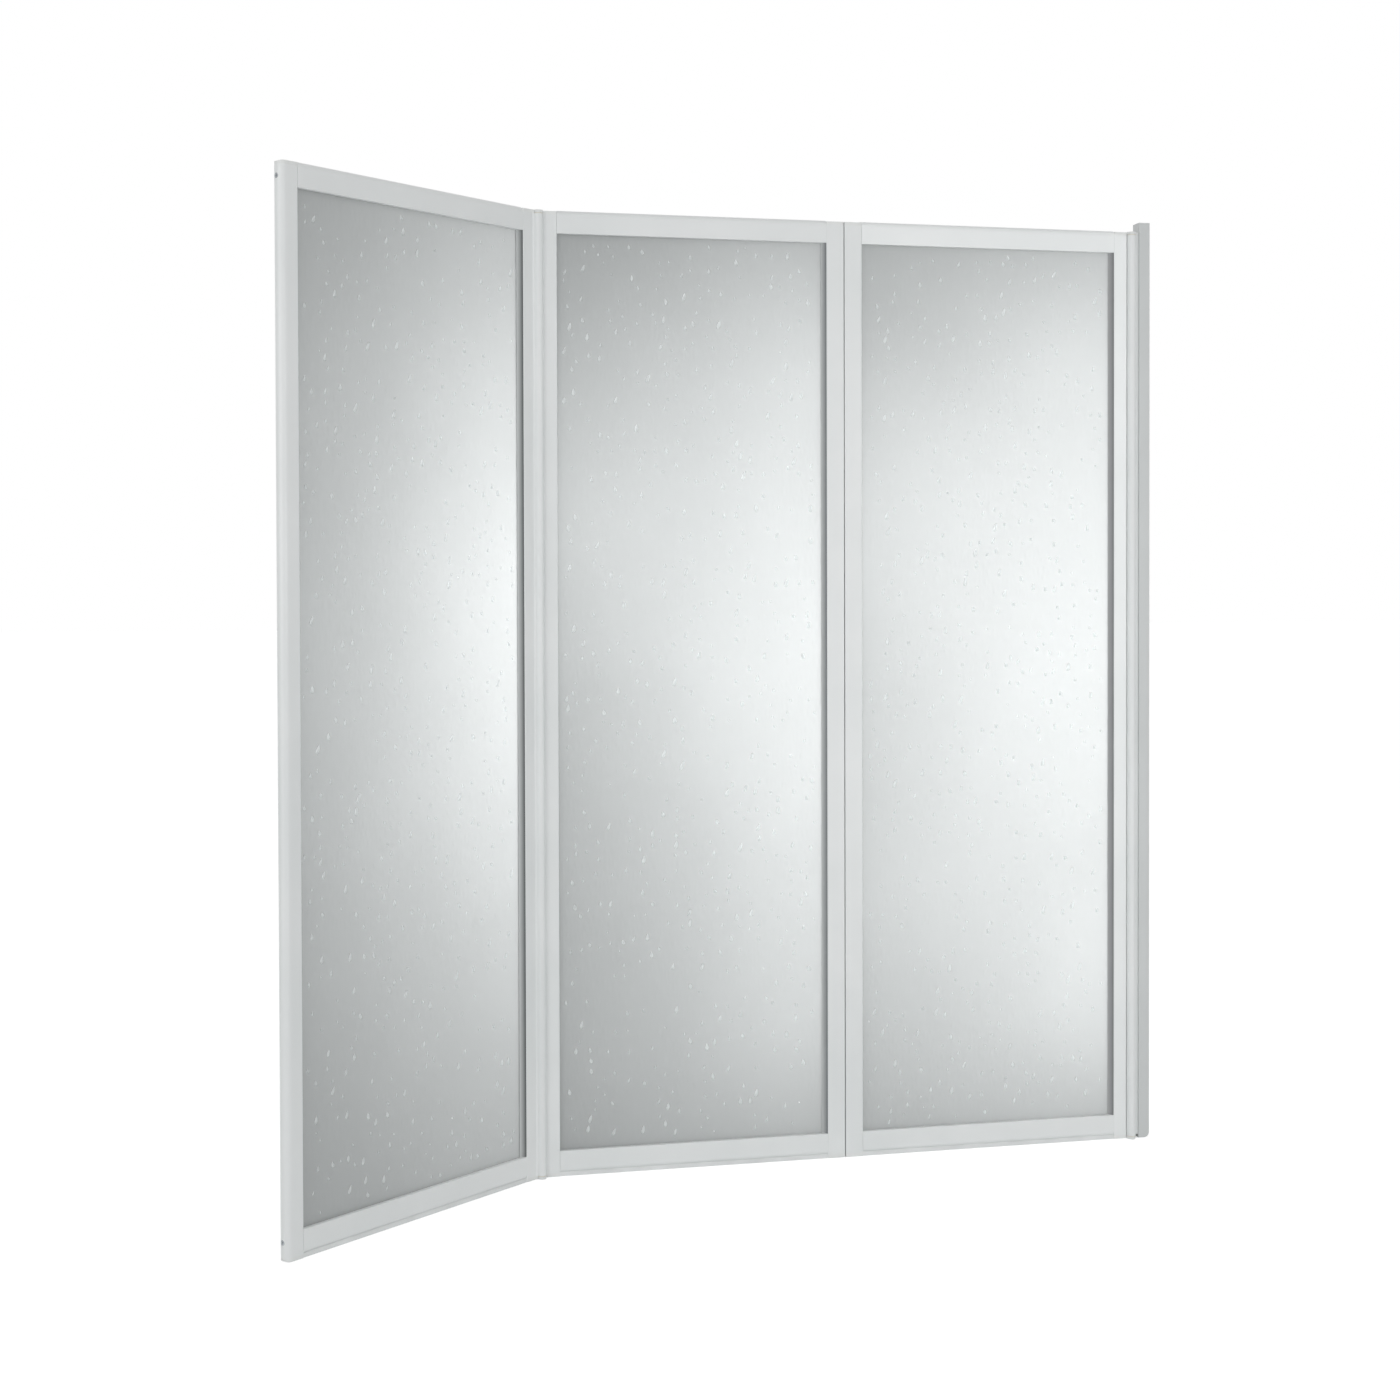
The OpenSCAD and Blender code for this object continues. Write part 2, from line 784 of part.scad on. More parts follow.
// Push-in cap of the adjusting profile, from the hinge as far as reach
module adjusting_profile_cap(reach) {
    plug_from = tube_stile_back + wall_t + plug_gap;
    linear_extrude(height = cap_t)
        difference() {
            translate([tube_stile_back, -half_d]) square([reach - tube_stile_back, frame_d]);
            around_axis(tube_r + turn_gap);
        }
    translate([0, 0, -plug_h])
        linear_extrude(height = plug_h)
            difference() {
                translate([plug_from, wall_t + plug_gap - half_d])
                    square([reach - plug_from, frame_d - 2 * wall_t - 2 * plug_gap]);
                around_axis(tube_r + plug_gap);
            }
}

// The upper cap covers the profile as far as it goes, the lower one ends before the wall profile's foot
module adjusting_profile_caps() {
    color(moulding)
        at_edge(axis_x(0), 1, 1) {
            at_top_end() adjusting_profile_cap(leg_reach);
            at_bottom_end() adjusting_profile_cap(foot_reach);
        }
}

// ---- One line for each node ----

wall_profile();
wall_profile_cap_top();
wall_profile_cap_bottom();
clamp_screws();
adjusting_profile();
adjusting_profile_caps();

at_notch(0) at_top_end() hinge_bracket();  // wall_hinge_bracket_top
at_notch(0) at_bottom_end() hinge_bracket();  // wall_hinge_bracket_bottom
at_notch(0) at_both_ends() hinge_pin();  // wall_hinge_pins
at_tube(0) at_both_ends() bush();  // wall_hinge_bushes
at_notch(0) hinge_seal();  // wall_hinge_seal
at_notch(0) at_both_ends() bracket_screw();  // wall_hinge_screws

at_notch(1) at_top_end() hinge_bracket();  // middle_hinge_bracket_top
at_notch(1) at_bottom_end() hinge_bracket();  // middle_hinge_bracket_bottom
at_notch(1) at_both_ends() hinge_pin();  // middle_hinge_pins
at_tube(1) at_both_ends() bush();  // middle_hinge_bushes
at_notch(1) hinge_seal();  // middle_hinge_seal
at_notch(1) at_both_ends() bracket_screw();  // middle_hinge_screws

at_notch(2) at_top_end() hinge_bracket();  // outer_hinge_bracket_top
at_notch(2) at_bottom_end() hinge_bracket();  // outer_hinge_bracket_bottom
at_notch(2) at_both_ends() hinge_pin();  // outer_hinge_pins
at_tube(2) at_both_ends() bush();  // outer_hinge_bushes
at_notch(2) hinge_seal();  // outer_hinge_seal
at_notch(2) at_both_ends() bracket_screw();  // outer_hinge_screws

at_notch(0) notch_stile();  // inner_right_stile
at_tube(1) tube_stile();  // inner_left_stile
in_inner() top_rail(0);  // inner_top_rail
in_inner() bottom_rail(0);  // inner_bottom_rail
in_inner() pane(0);  // inner_pane
in_inner() gasket(0);  // inner_gasket
in_inner() glazing_strips(0);  // inner_glazing_strips
in_inner() bottom_seal(0);  // inner_bottom_seal
corner_screws(0);  // inner_corner_screws
at_tube(1) at_both_ends() tube_stile_cap();  // inner_stile_caps

at_notch(1) notch_stile();  // middle_right_stile
at_notch(2) notch_stile();  // middle_left_stile
in_middle() top_rail(1);  // middle_top_rail
in_middle() bottom_rail(1);  // middle_bottom_rail
in_middle() pane(1);  // middle_pane
in_middle() gasket(1);  // middle_gasket
in_middle() glazing_strips(1);  // middle_glazing_strips
in_middle() bottom_seal(1);  // middle_bottom_seal
corner_screws(1);  // middle_corner_screws

at_tube(2) tube_stile();  // outer_right_stile
in_outer() at_free_end() free_stile();  // outer_left_stile
in_outer() top_rail(2);  // outer_top_rail
in_outer() bottom_rail(2);  // outer_bottom_rail
in_outer() pane(2);  // outer_pane
in_outer() gasket(2);  // outer_gasket
in_outer() glazing_strips(2);  // outer_glazing_strips
in_outer() bottom_seal(2);  // outer_bottom_seal
corner_screws(2);  // outer_corner_screws
at_tube(2) at_both_ends() tube_stile_cap();  // outer_stile_caps
in_outer() at_free_end() at_both_ends() free_stile_cap();  // outer_end_caps
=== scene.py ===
"""Looks of a folding bath screen: three framed panes hinged in a zigzag from a wall profile.

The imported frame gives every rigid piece. This script dresses each of them, adds the raindrop
relief of the panes, and sets up a plain studio with the photograph's camera.
"""

import logging
import math
from dataclasses import dataclass, field
from enum import Enum
from typing import Any

import bpy
from mathutils import Matrix, Vector


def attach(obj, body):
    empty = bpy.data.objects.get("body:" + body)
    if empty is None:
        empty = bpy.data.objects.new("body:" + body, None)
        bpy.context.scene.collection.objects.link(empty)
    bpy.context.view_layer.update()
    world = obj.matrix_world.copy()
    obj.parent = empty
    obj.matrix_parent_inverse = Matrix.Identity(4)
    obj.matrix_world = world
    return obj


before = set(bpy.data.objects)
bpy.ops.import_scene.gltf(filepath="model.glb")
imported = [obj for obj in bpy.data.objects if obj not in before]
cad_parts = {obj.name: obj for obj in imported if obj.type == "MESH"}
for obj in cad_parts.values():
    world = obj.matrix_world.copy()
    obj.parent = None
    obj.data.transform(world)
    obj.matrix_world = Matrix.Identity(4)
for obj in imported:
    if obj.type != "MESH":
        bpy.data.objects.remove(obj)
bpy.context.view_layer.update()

LOG = logging.getLogger("bath_screen")
MM = 0.001


# ---- Small helpers ----


def linear(colour: str) -> tuple[float, float, float, float]:
    """Turn an sRGB hex colour into the linear colour that a socket takes.

    Args:
        colour: The colour as "#RRGGBB".

    Returns:
        Linear red, green and blue, and an alpha of 1.
    """
    parts = [int(colour[i : i + 2], 16) / 255 for i in (1, 3, 5)]
    red, green, blue = [p / 12.92 if p <= 0.04045 else ((p + 0.055) / 1.055) ** 2.4 for p in parts]
    return red, green, blue, 1.0


def per_metre(size_mm: float) -> float:
    """Return the texture scale at which one cell of a pattern measures size_mm millimetres."""
    return 1.0 / (size_mm * MM)


def add_node(
    tree: bpy.types.NodeTree,
    kind: str,
    settings: dict[str, Any] | None = None,
    links: dict[str | int, bpy.types.NodeSocket] | None = None,
) -> bpy.types.Node:
    """Add a node to a tree, with its settings and its links.

    Args:
        tree: The tree that the node goes into.
        kind: Blender's name for the kind of node.
        settings: Values by name. A name of an input socket sets its value, any other name a
            property of the node. A key such as "#2" is the input socket with that number.
        links: What goes into each input socket, by its name or its number.

    Returns:
        The new node.
    """
    node = tree.nodes.new(kind)
    values = settings or {}
    for name in [n for n in values if not n.startswith("#") and hasattr(node, n)]:
        setattr(node, name, values[name])
    for name in [n for n in values if n.startswith("#") or not hasattr(node, n)]:
        socket = node.inputs[int(name[1:])] if name.startswith("#") else node.inputs[name]
        socket.default_value = values[name]
    for name, source in (links or {}).items():
        tree.links.new(source, node.inputs[name])
    return node


def new_material(name: str) -> tuple[bpy.types.Material, bpy.types.NodeTree]:
    """Make an empty node material.

    Args:
        name: The material's name.

    Returns:
        The material and its node tree, which holds no node.
    """
    material = bpy.data.materials.new(name)
    material.use_nodes = True
    material.node_tree.nodes.clear()
    return material, material.node_tree


def shaded(
    tree: bpy.types.NodeTree,
    colour: str,
    pattern: bpy.types.NodeSocket,
    values: tuple[float, float],
) -> bpy.types.NodeSocket:
    """Darken and lighten a colour by a pattern.

    Args:
        tree: The tree that the nodes go into.
        colour: The colour as "#RRGGBB".
        pattern: The pattern, from 0 to 1.
        values: What the colour's value is multiplied by where the pattern is 0, and where 1.

    Returns:
        The socket that gives the shaded colour.
    """
    low, high = values
    value = add_node(
        tree, "ShaderNodeMapRange", {"To Min": low, "To Max": high}, {"Value": pattern}
    )
    tint = add_node(
        tree,
        "ShaderNodeHueSaturation",
        {"Color": linear(colour)},
        {"Value": value.outputs["Result"]},
    )
    return tint.outputs["Color"]


def open_to_shadow_rays(
    tree: bpy.types.NodeTree, body: bpy.types.NodeSocket, colour: str
) -> bpy.types.NodeSocket:
    """Let the lamps' light pass a see-through body, tinted, in place of a hard shadow.

    Args:
        tree: The tree that the nodes go into.
        body: The body's shader.
        colour: The tint of the light that passes, as "#RRGGBB".

    Returns:
        The socket that gives the shader with the passing light.
    """
    passing = add_node(tree, "ShaderNodeBsdfTransparent", {"Color": linear(colour)})
    path = add_node(tree, "ShaderNodeLightPath")
    surface = add_node(
        tree,
        "ShaderNodeMixShader",
        links={0: path.outputs["Is Shadow Ray"], 1: body, 2: passing.outputs["BSDF"]},
    )
    return surface.outputs["Shader"]


def seen_directly(tree: bpy.types.NodeTree) -> bpy.types.NodeSocket:
    """Tell the rays that show a surface from those that only carry its light.

    Args:
        tree: The tree that the nodes go into.

    Returns:
        A socket that gives 1 to the eye, in a reflection and through a clear piece, or else 0.
    """
    path = add_node(tree, "ShaderNodeLightPath")
    seen = path.outputs["Is Camera Ray"]
    for also in ("Is Glossy Ray", "Is Transmission Ray"):
        either = add_node(
            tree, "ShaderNodeMath", {"operation": "MAXIMUM"}, {0: seen, 1: path.outputs[also]}
        )
        seen = either.outputs["Value"]
    return seen


def lit_group(name: str, pieces: list[bpy.types.Object]) -> bpy.types.Collection:
    """Collect the pieces that a lamp lights and no others.

    Args:
        name: The collection's name.
        pieces: The pieces.

    Returns:
        The collection.
    """
    group = bpy.data.collections.new(name)
    for piece in pieces:
        group.objects.link(piece)
    return group


def flat_piece(name: str, corners: list[tuple[float, float, float]]) -> bpy.types.Object:
    """Add an object of one flat face to the scene.

    Args:
        name: The object's name.
        corners: The face's corners, counterclockwise from the side that it looks to.

    Returns:
        The object.
    """
    mesh = bpy.data.meshes.new(name)
    mesh.from_pydata(corners, [], [tuple(range(len(corners)))])
    piece = bpy.data.objects.new(name, mesh)
    bpy.context.scene.collection.objects.link(piece)
    return piece


# ---- Finishes ----


@dataclass(frozen=True)
class PowderCoat:
    """White polyester powder coat on extruded aluminium.

    The coat melts into a satin film with a faint orange peel, and a little of the light goes
    grey where the film is thinner. It reads as a soft, even white with broad highlights.
    """

    name: str
    colour: str
    thin_colour: str
    roughness: float = 0.36
    gloss_spread: float = 0.05
    coat: float = 0.12
    coat_roughness: float = 0.22
    ior: float = 1.5
    peel_mm: float = 2.2
    peel_height_mm: float = 0.012
    patch_mm: float = 180.0
    patch_edges: tuple[float, float] = (0.3, 0.7)

    def build(self) -> bpy.types.Material:
        """Build the material for the frame profiles.

        Returns:
            The material.
        """
        material, tree = new_material(self.name)
        place = add_node(tree, "ShaderNodeTexCoord")
        patches = add_node(
            tree,
            "ShaderNodeTexNoise",
            {"Scale": per_metre(self.patch_mm), "Detail": 3.0, "Roughness": 0.5},
            {"Vector": place.outputs["Object"]},
        )
        white_below, thin_above = self.patch_edges
        spread = add_node(
            tree,
            "ShaderNodeMapRange",
            {"From Min": white_below, "From Max": thin_above},
            {"Value": patches.outputs["Fac"]},
        )
        film = add_node(
            tree,
            "ShaderNodeMix",
            {"data_type": "RGBA", "#6": linear(self.colour), "#7": linear(self.thin_colour)},
            {0: spread.outputs["Result"]},
        )
        peel = add_node(
            tree,
            "ShaderNodeTexNoise",
            {"Scale": per_metre(self.peel_mm), "Detail": 1.0},
            {"Vector": place.outputs["Object"]},
        )
        gloss = add_node(
            tree,
            "ShaderNodeMapRange",
            {
                "To Min": self.roughness - self.gloss_spread,
                "To Max": self.roughness + self.gloss_spread,
            },
            {"Value": patches.outputs["Fac"]},
        )
        bump = add_node(
            tree,
            "ShaderNodeBump",
            {"Strength": 0.5, "Distance": self.peel_height_mm * MM},
            {"Height": peel.outputs["Fac"]},
        )
        shader = add_node(
            tree,
            "ShaderNodeBsdfPrincipled",
            {"Coat Weight": self.coat, "Coat Roughness": self.coat_roughness, "IOR": self.ior},
            {
                "Base Color": film.outputs[2],
                "Roughness": gloss.outputs["Result"],
                "Normal": bump.outputs["Normal"],
            },
        )
        add_node(tree, "ShaderNodeOutputMaterial", links={"Surface": shader.outputs["BSDF"]})
        return material


@dataclass(frozen=True)
class MouldedPlastic:
    """White injection-moulded nylon or acetal, spark-eroded to a fine grain.

    Caps, brackets and bushes are a touch warmer and duller than the coated profiles, with a
    little light bleeding through their thin edges. The grain is drawn at 0.5 mm, which is about
    three times the real one, so that it shows from near.
    """

    name: str
    colour: str
    roughness: float = 0.48
    ior: float = 1.5
    grain_mm: float = 0.5
    grain_height_mm: float = 0.015
    flow_mm: float = 12.0
    values: tuple[float, float] = (0.96, 1.02)
    bleed: float = 0.08
    bleed_mm: float = 1.2
    bleed_shares: tuple[float, float, float] = (1.0, 0.95, 0.9)

    def build(self) -> bpy.types.Material:
        """Build the material for moulded pieces.

        Returns:
            The material.
        """
        material, tree = new_material(self.name)
        place = add_node(tree, "ShaderNodeTexCoord")
        grain = add_node(
            tree,
            "ShaderNodeTexNoise",
            {"Scale": per_metre(self.grain_mm), "Detail": 2.0},
            {"Vector": place.outputs["Object"]},
        )
        flow = add_node(
            tree,
            "ShaderNodeTexNoise",
            {"Scale": per_metre(self.flow_mm), "Detail": 2.0},
            {"Vector": place.outputs["Object"]},
        )
        tint = shaded(tree, self.colour, flow.outputs["Fac"], self.values)
        bump = add_node(
            tree,
            "ShaderNodeBump",
            {"Strength": 0.4, "Distance": self.grain_height_mm * MM},
            {"Height": grain.outputs["Fac"]},
        )
        shader = add_node(
            tree,
            "ShaderNodeBsdfPrincipled",
            {
                "Roughness": self.roughness,
                "IOR": self.ior,
                "Subsurface Weight": self.bleed,
                "Subsurface Radius": self.bleed_shares,
                "Subsurface Scale": self.bleed_mm * MM,
            },
            {"Base Color": tint, "Normal": bump.outputs["Normal"]},
        )
        add_node(tree, "ShaderNodeOutputMaterial", links={"Surface": shader.outputs["BSDF"]})
        return material


@dataclass(frozen=True)
class SoftRubber:
    """Extruded soft plastic or rubber, matt, with fine draw lines along the profile.

    The lines are drawn at 0.6 mm, about three times the real ones, so that they show from near.
    """

    name: str
    colour: str
    roughness: float = 0.6
    ior: float = 1.5
    draw_mm: float = 0.6
    draw_stretch: float = 50.0
    draw_height_mm: float = 0.03
    dust_mm: float = 40.0
    values: tuple[float, float] = (0.88, 1.12)
    sheen: float = 0.15

    def build(self) -> bpy.types.Material:
        """Build the material for the seals and glazing strips.

        Returns:
            The material.
        """
        material, tree = new_material(self.name)
        place = add_node(tree, "ShaderNodeTexCoord")
        stretched = add_node(
            tree,
            "ShaderNodeMapping",
            {"Scale": (1.0, 1.0, 1.0 / self.draw_stretch)},
            {"Vector": place.outputs["Object"]},
        )
        lines = add_node(
            tree,
            "ShaderNodeTexNoise",
            {"Scale": per_metre(self.draw_mm), "Detail": 2.0},
            {"Vector": stretched.outputs["Vector"]},
        )
        dust = add_node(
            tree,
            "ShaderNodeTexNoise",
            {"Scale": per_metre(self.dust_mm), "Detail": 4.0},
            {"Vector": place.outputs["Object"]},
        )
        tint = shaded(tree, self.colour, dust.outputs["Fac"], self.values)
        bump = add_node(
            tree,
            "ShaderNodeBump",
            {"Strength": 0.5, "Distance": self.draw_height_mm * MM},
            {"Height": lines.outputs["Fac"]},
        )
        shader = add_node(
            tree,
            "ShaderNodeBsdfPrincipled",
            {"Roughness": self.roughness, "IOR": self.ior, "Sheen Weight": self.sheen},
            {"Base Color": tint, "Normal": bump.outputs["Normal"]},
        )
        add_node(tree, "ShaderNodeOutputMaterial", links={"Surface": shader.outputs["BSDF"]})
        return material


@dataclass(frozen=True)
class WedgeRubberPaintedShade:
    """Extruded smoke-grey flexible PVC whose section is a wedge, matt, with fine draw lines.

    Its grey is painted shade: the colour darkens evenly from the pane towards the stile, as the
    shadow of the stile's jamb, and each panel's copy is painted as dark as the shade at its stile.
    Its lines are as coarse as those of the seals.
    """

    name: str
    # The lip and root colours are painted shade: light at the lip, dark at the root.
    lip_painted_shade: str
    root_painted_shade: str
    lip_from_mm: float = 2.3
    root_from_mm: float = 8.0
    roughness: float = 0.6
    ior: float = 1.5
    draw_mm: float = 0.6
    draw_stretch: float = 50.0
    draw_height_mm: float = 0.03

    def build(self, flat: Matrix) -> bpy.types.Material:
        """Build the material for one panel's gasket.

        Args:
            flat: The matrix that takes the drawn panel back to its flat place, where the
                pane's mid-plane is Y = 0.

        Returns:
            The material, whose colour, a painted shade, follows the distance from the pane's
            mid-plane.
        """
        material, tree = new_material(self.name)
        place = add_node(tree, "ShaderNodeTexCoord")
        panel = add_node(
            tree,
            "ShaderNodeMapping",
            {"#1": flat.to_translation(), "#2": flat.to_euler()},
            {"Vector": place.outputs["Object"]},
        )
        where = add_node(tree, "ShaderNodeSeparateXYZ", links={0: panel.outputs["Vector"]})
        off_pane = add_node(
            tree, "ShaderNodeMath", {"operation": "ABSOLUTE"}, {0: where.outputs["Y"]}
        )
        # Painted shade: the colour runs from the lip to the root as the distance from the pane's
        # mid-plane grows.
        painted_shade_ramp = add_node(
            tree,
            "ShaderNodeMapRange",
            {"From Min": self.lip_from_mm * MM, "From Max": self.root_from_mm * MM},
            {"Value": off_pane.outputs["Value"]},
        )
        shade = add_node(
            tree,
            "ShaderNodeMix",
            {"data_type": "RGBA", "#6": linear(self.lip_painted_shade), "#7": linear(self.root_painted_shade)},
            {0: painted_shade_ramp.outputs["Result"]},
        )
        stretched = add_node(
            tree,
            "ShaderNodeMapping",
            {"Scale": (1.0, 1.0, 1.0 / self.draw_stretch)},
            {"Vector": panel.outputs["Vector"]},
        )
        lines = add_node(
            tree,
            "ShaderNodeTexNoise",
            {"Scale": per_metre(self.draw_mm), "Detail": 2.0},
            {"Vector": stretched.outputs["Vector"]},
        )
        bump = add_node(
            tree,
            "ShaderNodeBump",
            {"Strength": 0.5, "Distance": self.draw_height_mm * MM},
            {"Height": lines.outputs["Fac"]},
        )
        shader = add_node(
            tree,
            "ShaderNodeBsdfPrincipled",
            {"Roughness": self.roughness, "IOR": self.ior},
            {"Base Color": shade.outputs[2], "Normal": bump.outputs["Normal"]},
        )
        add_node(tree, "ShaderNodeOutputMaterial", links={"Surface": shader.outputs["BSDF"]})
        return material


@dataclass(frozen=True)
class ZincedSteel:
    """Bright zinc-plated steel of screws and pins: greyish metal with a soft, cloudy gloss."""

    name: str = "zinc_plated_steel"
    colour: str = "#B9BDC0"
    dull_colour: str = "#9CA1A5"
    least_roughness: float = 0.24
    most_roughness: float = 0.44
    cloud_mm: float = 1.5

    def build(self) -> bpy.types.Material:
        """Build the material for screws and pins.

        Returns:
            The material.
        """
        material, tree = new_material(self.name)
        place = add_node(tree, "ShaderNodeTexCoord")
        clouds = add_node(
            tree,
            "ShaderNodeTexNoise",
            {"Scale": per_metre(self.cloud_mm), "Detail": 3.0},
            {"Vector": place.outputs["Object"]},
        )
        plate = add_node(
            tree,
            "ShaderNodeMix",
            {"data_type": "RGBA", "#6": linear(self.colour), "#7": linear(self.dull_colour)},
            {0: clouds.outputs["Fac"]},
        )
        gloss = add_node(
            tree,
            "ShaderNodeMapRange",
            {"To Min": self.least_roughness, "To Max": self.most_roughness},
            {"Value": clouds.outputs["Fac"]},
        )
        shader = add_node(
            tree,
            "ShaderNodeBsdfPrincipled",
            {"Metallic": 1.0},
            {"Base Color": plate.outputs[2], "Roughness": gloss.outputs["Result"]},
        )
        add_node(tree, "ShaderNodeOutputMaterial", links={"Surface": shader.outputs["BSDF"]})
        return material


@dataclass(frozen=True)
class RainPane:
    """Cast polystyrene sheet with a frosted, faintly hammered face.

    The frosting scatters light through the sheet, so the pane glows grey-white where it is lit
    from behind and hides what stands behind it. Light from the front leaves a cool tint. The
    frosting's grit is drawn at 1.1 mm, several times the real one, so that it shows.
    """

    name: str = "frosted_polystyrene"
    face_colour: str = "#A1A6A6"
    through_colour: str = "#B1B2B2"
    shadow_colour: str = "#CACBCB"
    roughness: float = 0.3
    ior: float = 1.59
    through_share: float = 0.68
    clear_share: float = 0.06
    hammer_mm: float = 6.0
    hammer_stretch: float = 2.4
    hammer_height_mm: float = 0.45
    frost_mm: float = 1.1
    frost_height_mm: float = 0.04
    cloud_mm: float = 160.0
    values: tuple[float, float] = (0.95, 1.03)

    def build(self) -> bpy.types.Material:
        """Build the material for the panes.

        Returns:
            The material.
        """
        material, tree = new_material(self.name)
        place = add_node(tree, "ShaderNodeTexCoord")
        upright = add_node(
            tree,
            "ShaderNodeMapping",
            {"Scale": (1.0, 1.0, 1.0 / self.hammer_stretch)},
            {"Vector": place.outputs["Object"]},
        )
        hammer = add_node(
            tree,
            "ShaderNodeTexVoronoi",
            {"feature": "SMOOTH_F1", "Scale": per_metre(self.hammer_mm), "Smoothness": 0.6},
            {"Vector": upright.outputs["Vector"]},
        )
        frost = add_node(
            tree,
            "ShaderNodeTexNoise",
            {"Scale": per_metre(self.frost_mm), "Detail": 2.0},
            {"Vector": place.outputs["Object"]},
        )
        coarse = add_node(
            tree,
            "ShaderNodeBump",
            {"Strength": 0.5, "Distance": self.hammer_height_mm * MM},
            {"Height": hammer.outputs["Distance"]},
        )
        fine = add_node(
            tree,
            "ShaderNodeBump",
            {"Strength": 0.5, "Distance": self.frost_height_mm * MM},
            {"Height": frost.outputs["Fac"], "Normal": coarse.outputs["Normal"]},
        )
        cloud = add_node(
            tree,
            "ShaderNodeTexNoise",
            {"Scale": per_metre(self.cloud_mm), "Detail": 3.0},
            {"Vector": place.outputs["Object"]},
        )
        tint = shaded(tree, self.through_colour, cloud.outputs["Fac"], self.values)
        face = add_node(
            tree,
            "ShaderNodeBsdfPrincipled",
            {
                "Base Color": linear(self.face_colour),
                "Roughness": self.roughness,
                "IOR": self.ior,
                "Transmission Weight": self.clear_share,
            },
            {"Normal": fine.outputs["Normal"]},
        )
        through = add_node(
            tree,
            "ShaderNodeBsdfTranslucent",
            links={"Color": tint, "Normal": fine.outputs["Normal"]},
        )
        body = add_node(
            tree,
            "ShaderNodeMixShader",
            {"#0": self.through_share},
            {1: face.outputs["BSDF"], 2: through.outputs["BSDF"]},
        )
        surface = open_to_shadow_rays(tree, body.outputs["Shader"], self.shadow_colour)
        add_node(tree, "ShaderNodeOutputMaterial", links={"Surface": surface})
        return material


@dataclass(frozen=True)
class RainDrop:
    """Relief of the drops cast on the pane's face, a little hazy like the sheet itself.

    A drop shows as a soft light speck: its dome catches some light of the room, and its near-white
    colour, far lighter than the sheet it is cast in, is a painted highlight.
    """

    name: str = "polystyrene_drops_painted_highlight"
    # The near-white colour is a painted highlight on each drop.
    colour: str = "#F5F7F7"
    least_roughness: float = 0.44
    most_roughness: float = 0.60
    ior: float = 1.59
    ripple_mm: float = 2.5
    clear_share: float = 0.55
    through_share: float = 0.11

    def build(self) -> bpy.types.Material:
        """Build the material for the raindrop relief.

        Returns:
            The material.
        """
        material, tree = new_material(self.name)
        place = add_node(tree, "ShaderNodeTexCoord")
        ripple = add_node(
            tree,
            "ShaderNodeTexNoise",
            {"Scale": per_metre(self.ripple_mm), "Detail": 1.0},
            {"Vector": place.outputs["Object"]},
        )
        gloss = add_node(
            tree,
            "ShaderNodeMapRange",
            {"To Min": self.least_roughness, "To Max": self.most_roughness},
            {"Value": ripple.outputs["Fac"]},
        )
        clear = add_node(
            tree,
            "ShaderNodeBsdfPrincipled",
            {
                "Base Color": linear(self.colour),
                "IOR": self.ior,
                "Transmission Weight": self.clear_share,
            },
            {"Roughness": gloss.outputs["Result"]},
        )
        through = add_node(tree, "ShaderNodeBsdfTranslucent", {"Color": linear(self.colour)})
        body = add_node(
            tree,
            "ShaderNodeMixShader",
            {"#0": self.through_share},
            {1: clear.outputs["BSDF"], 2: through.outputs["BSDF"]},
        )
        surface = open_to_shadow_rays(tree, body.outputs["Shader"], self.colour)
        add_node(tree, "ShaderNodeOutputMaterial", links={"Surface": surface})
        return material


class Finish(Enum):
    """The finishes that the screen's pieces are made in."""

    FRAME = PowderCoat("powder_coated_frame", "#EDEFEF", "#E6E9E9")
    # The wall profile's coat is the frame's white painted darker: painted shade of the wall side.
    WALL = PowderCoat("powder_coat_painted_shade_wall_profile", "#CFD2D2", "#C9CCCC")
    MOULDING = MouldedPlastic("moulded_white_plastic", "#E9EBEA")
    BUSH = MouldedPlastic("natural_nylon", "#E4E0D4", roughness=0.55)
    SEAL = SoftRubber("clear_grey_seal", "#E6E8E8", roughness=0.5)
    STEEL = ZincedSteel()
    PANE = RainPane()
    DROP = RainDrop()


@dataclass
class Finishes:
    """The materials of the finishes, each built once."""

    built: dict[Finish, bpy.types.Material] = field(default_factory=dict)

    def of(self, finish: Finish) -> bpy.types.Material:
        """Give the material of a finish, and build it the first time.

        Args:
            finish: The finish.

        Returns:
            The material.
        """
        if finish not in self.built:
            self.built[finish] = finish.value.build()
        return self.built[finish]

    def dress(self, node: str, finish: Finish) -> None:
        """Give a CAD node its finish.

        Args:
            node: The node's name.
            finish: The finish that all of the node is made in.
        """
        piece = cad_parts[node]
        piece.data.materials.clear()
        piece.data.materials.append(self.of(finish))
        LOG.info("dressed %s in %s", node, self.of(finish).name)


# ---- Sub-assemblies ----


class PanelName(Enum):
    """The three panels, from the wall outwards."""

    INNER = "inner"
    MIDDLE = "middle"
    OUTER = "outer"


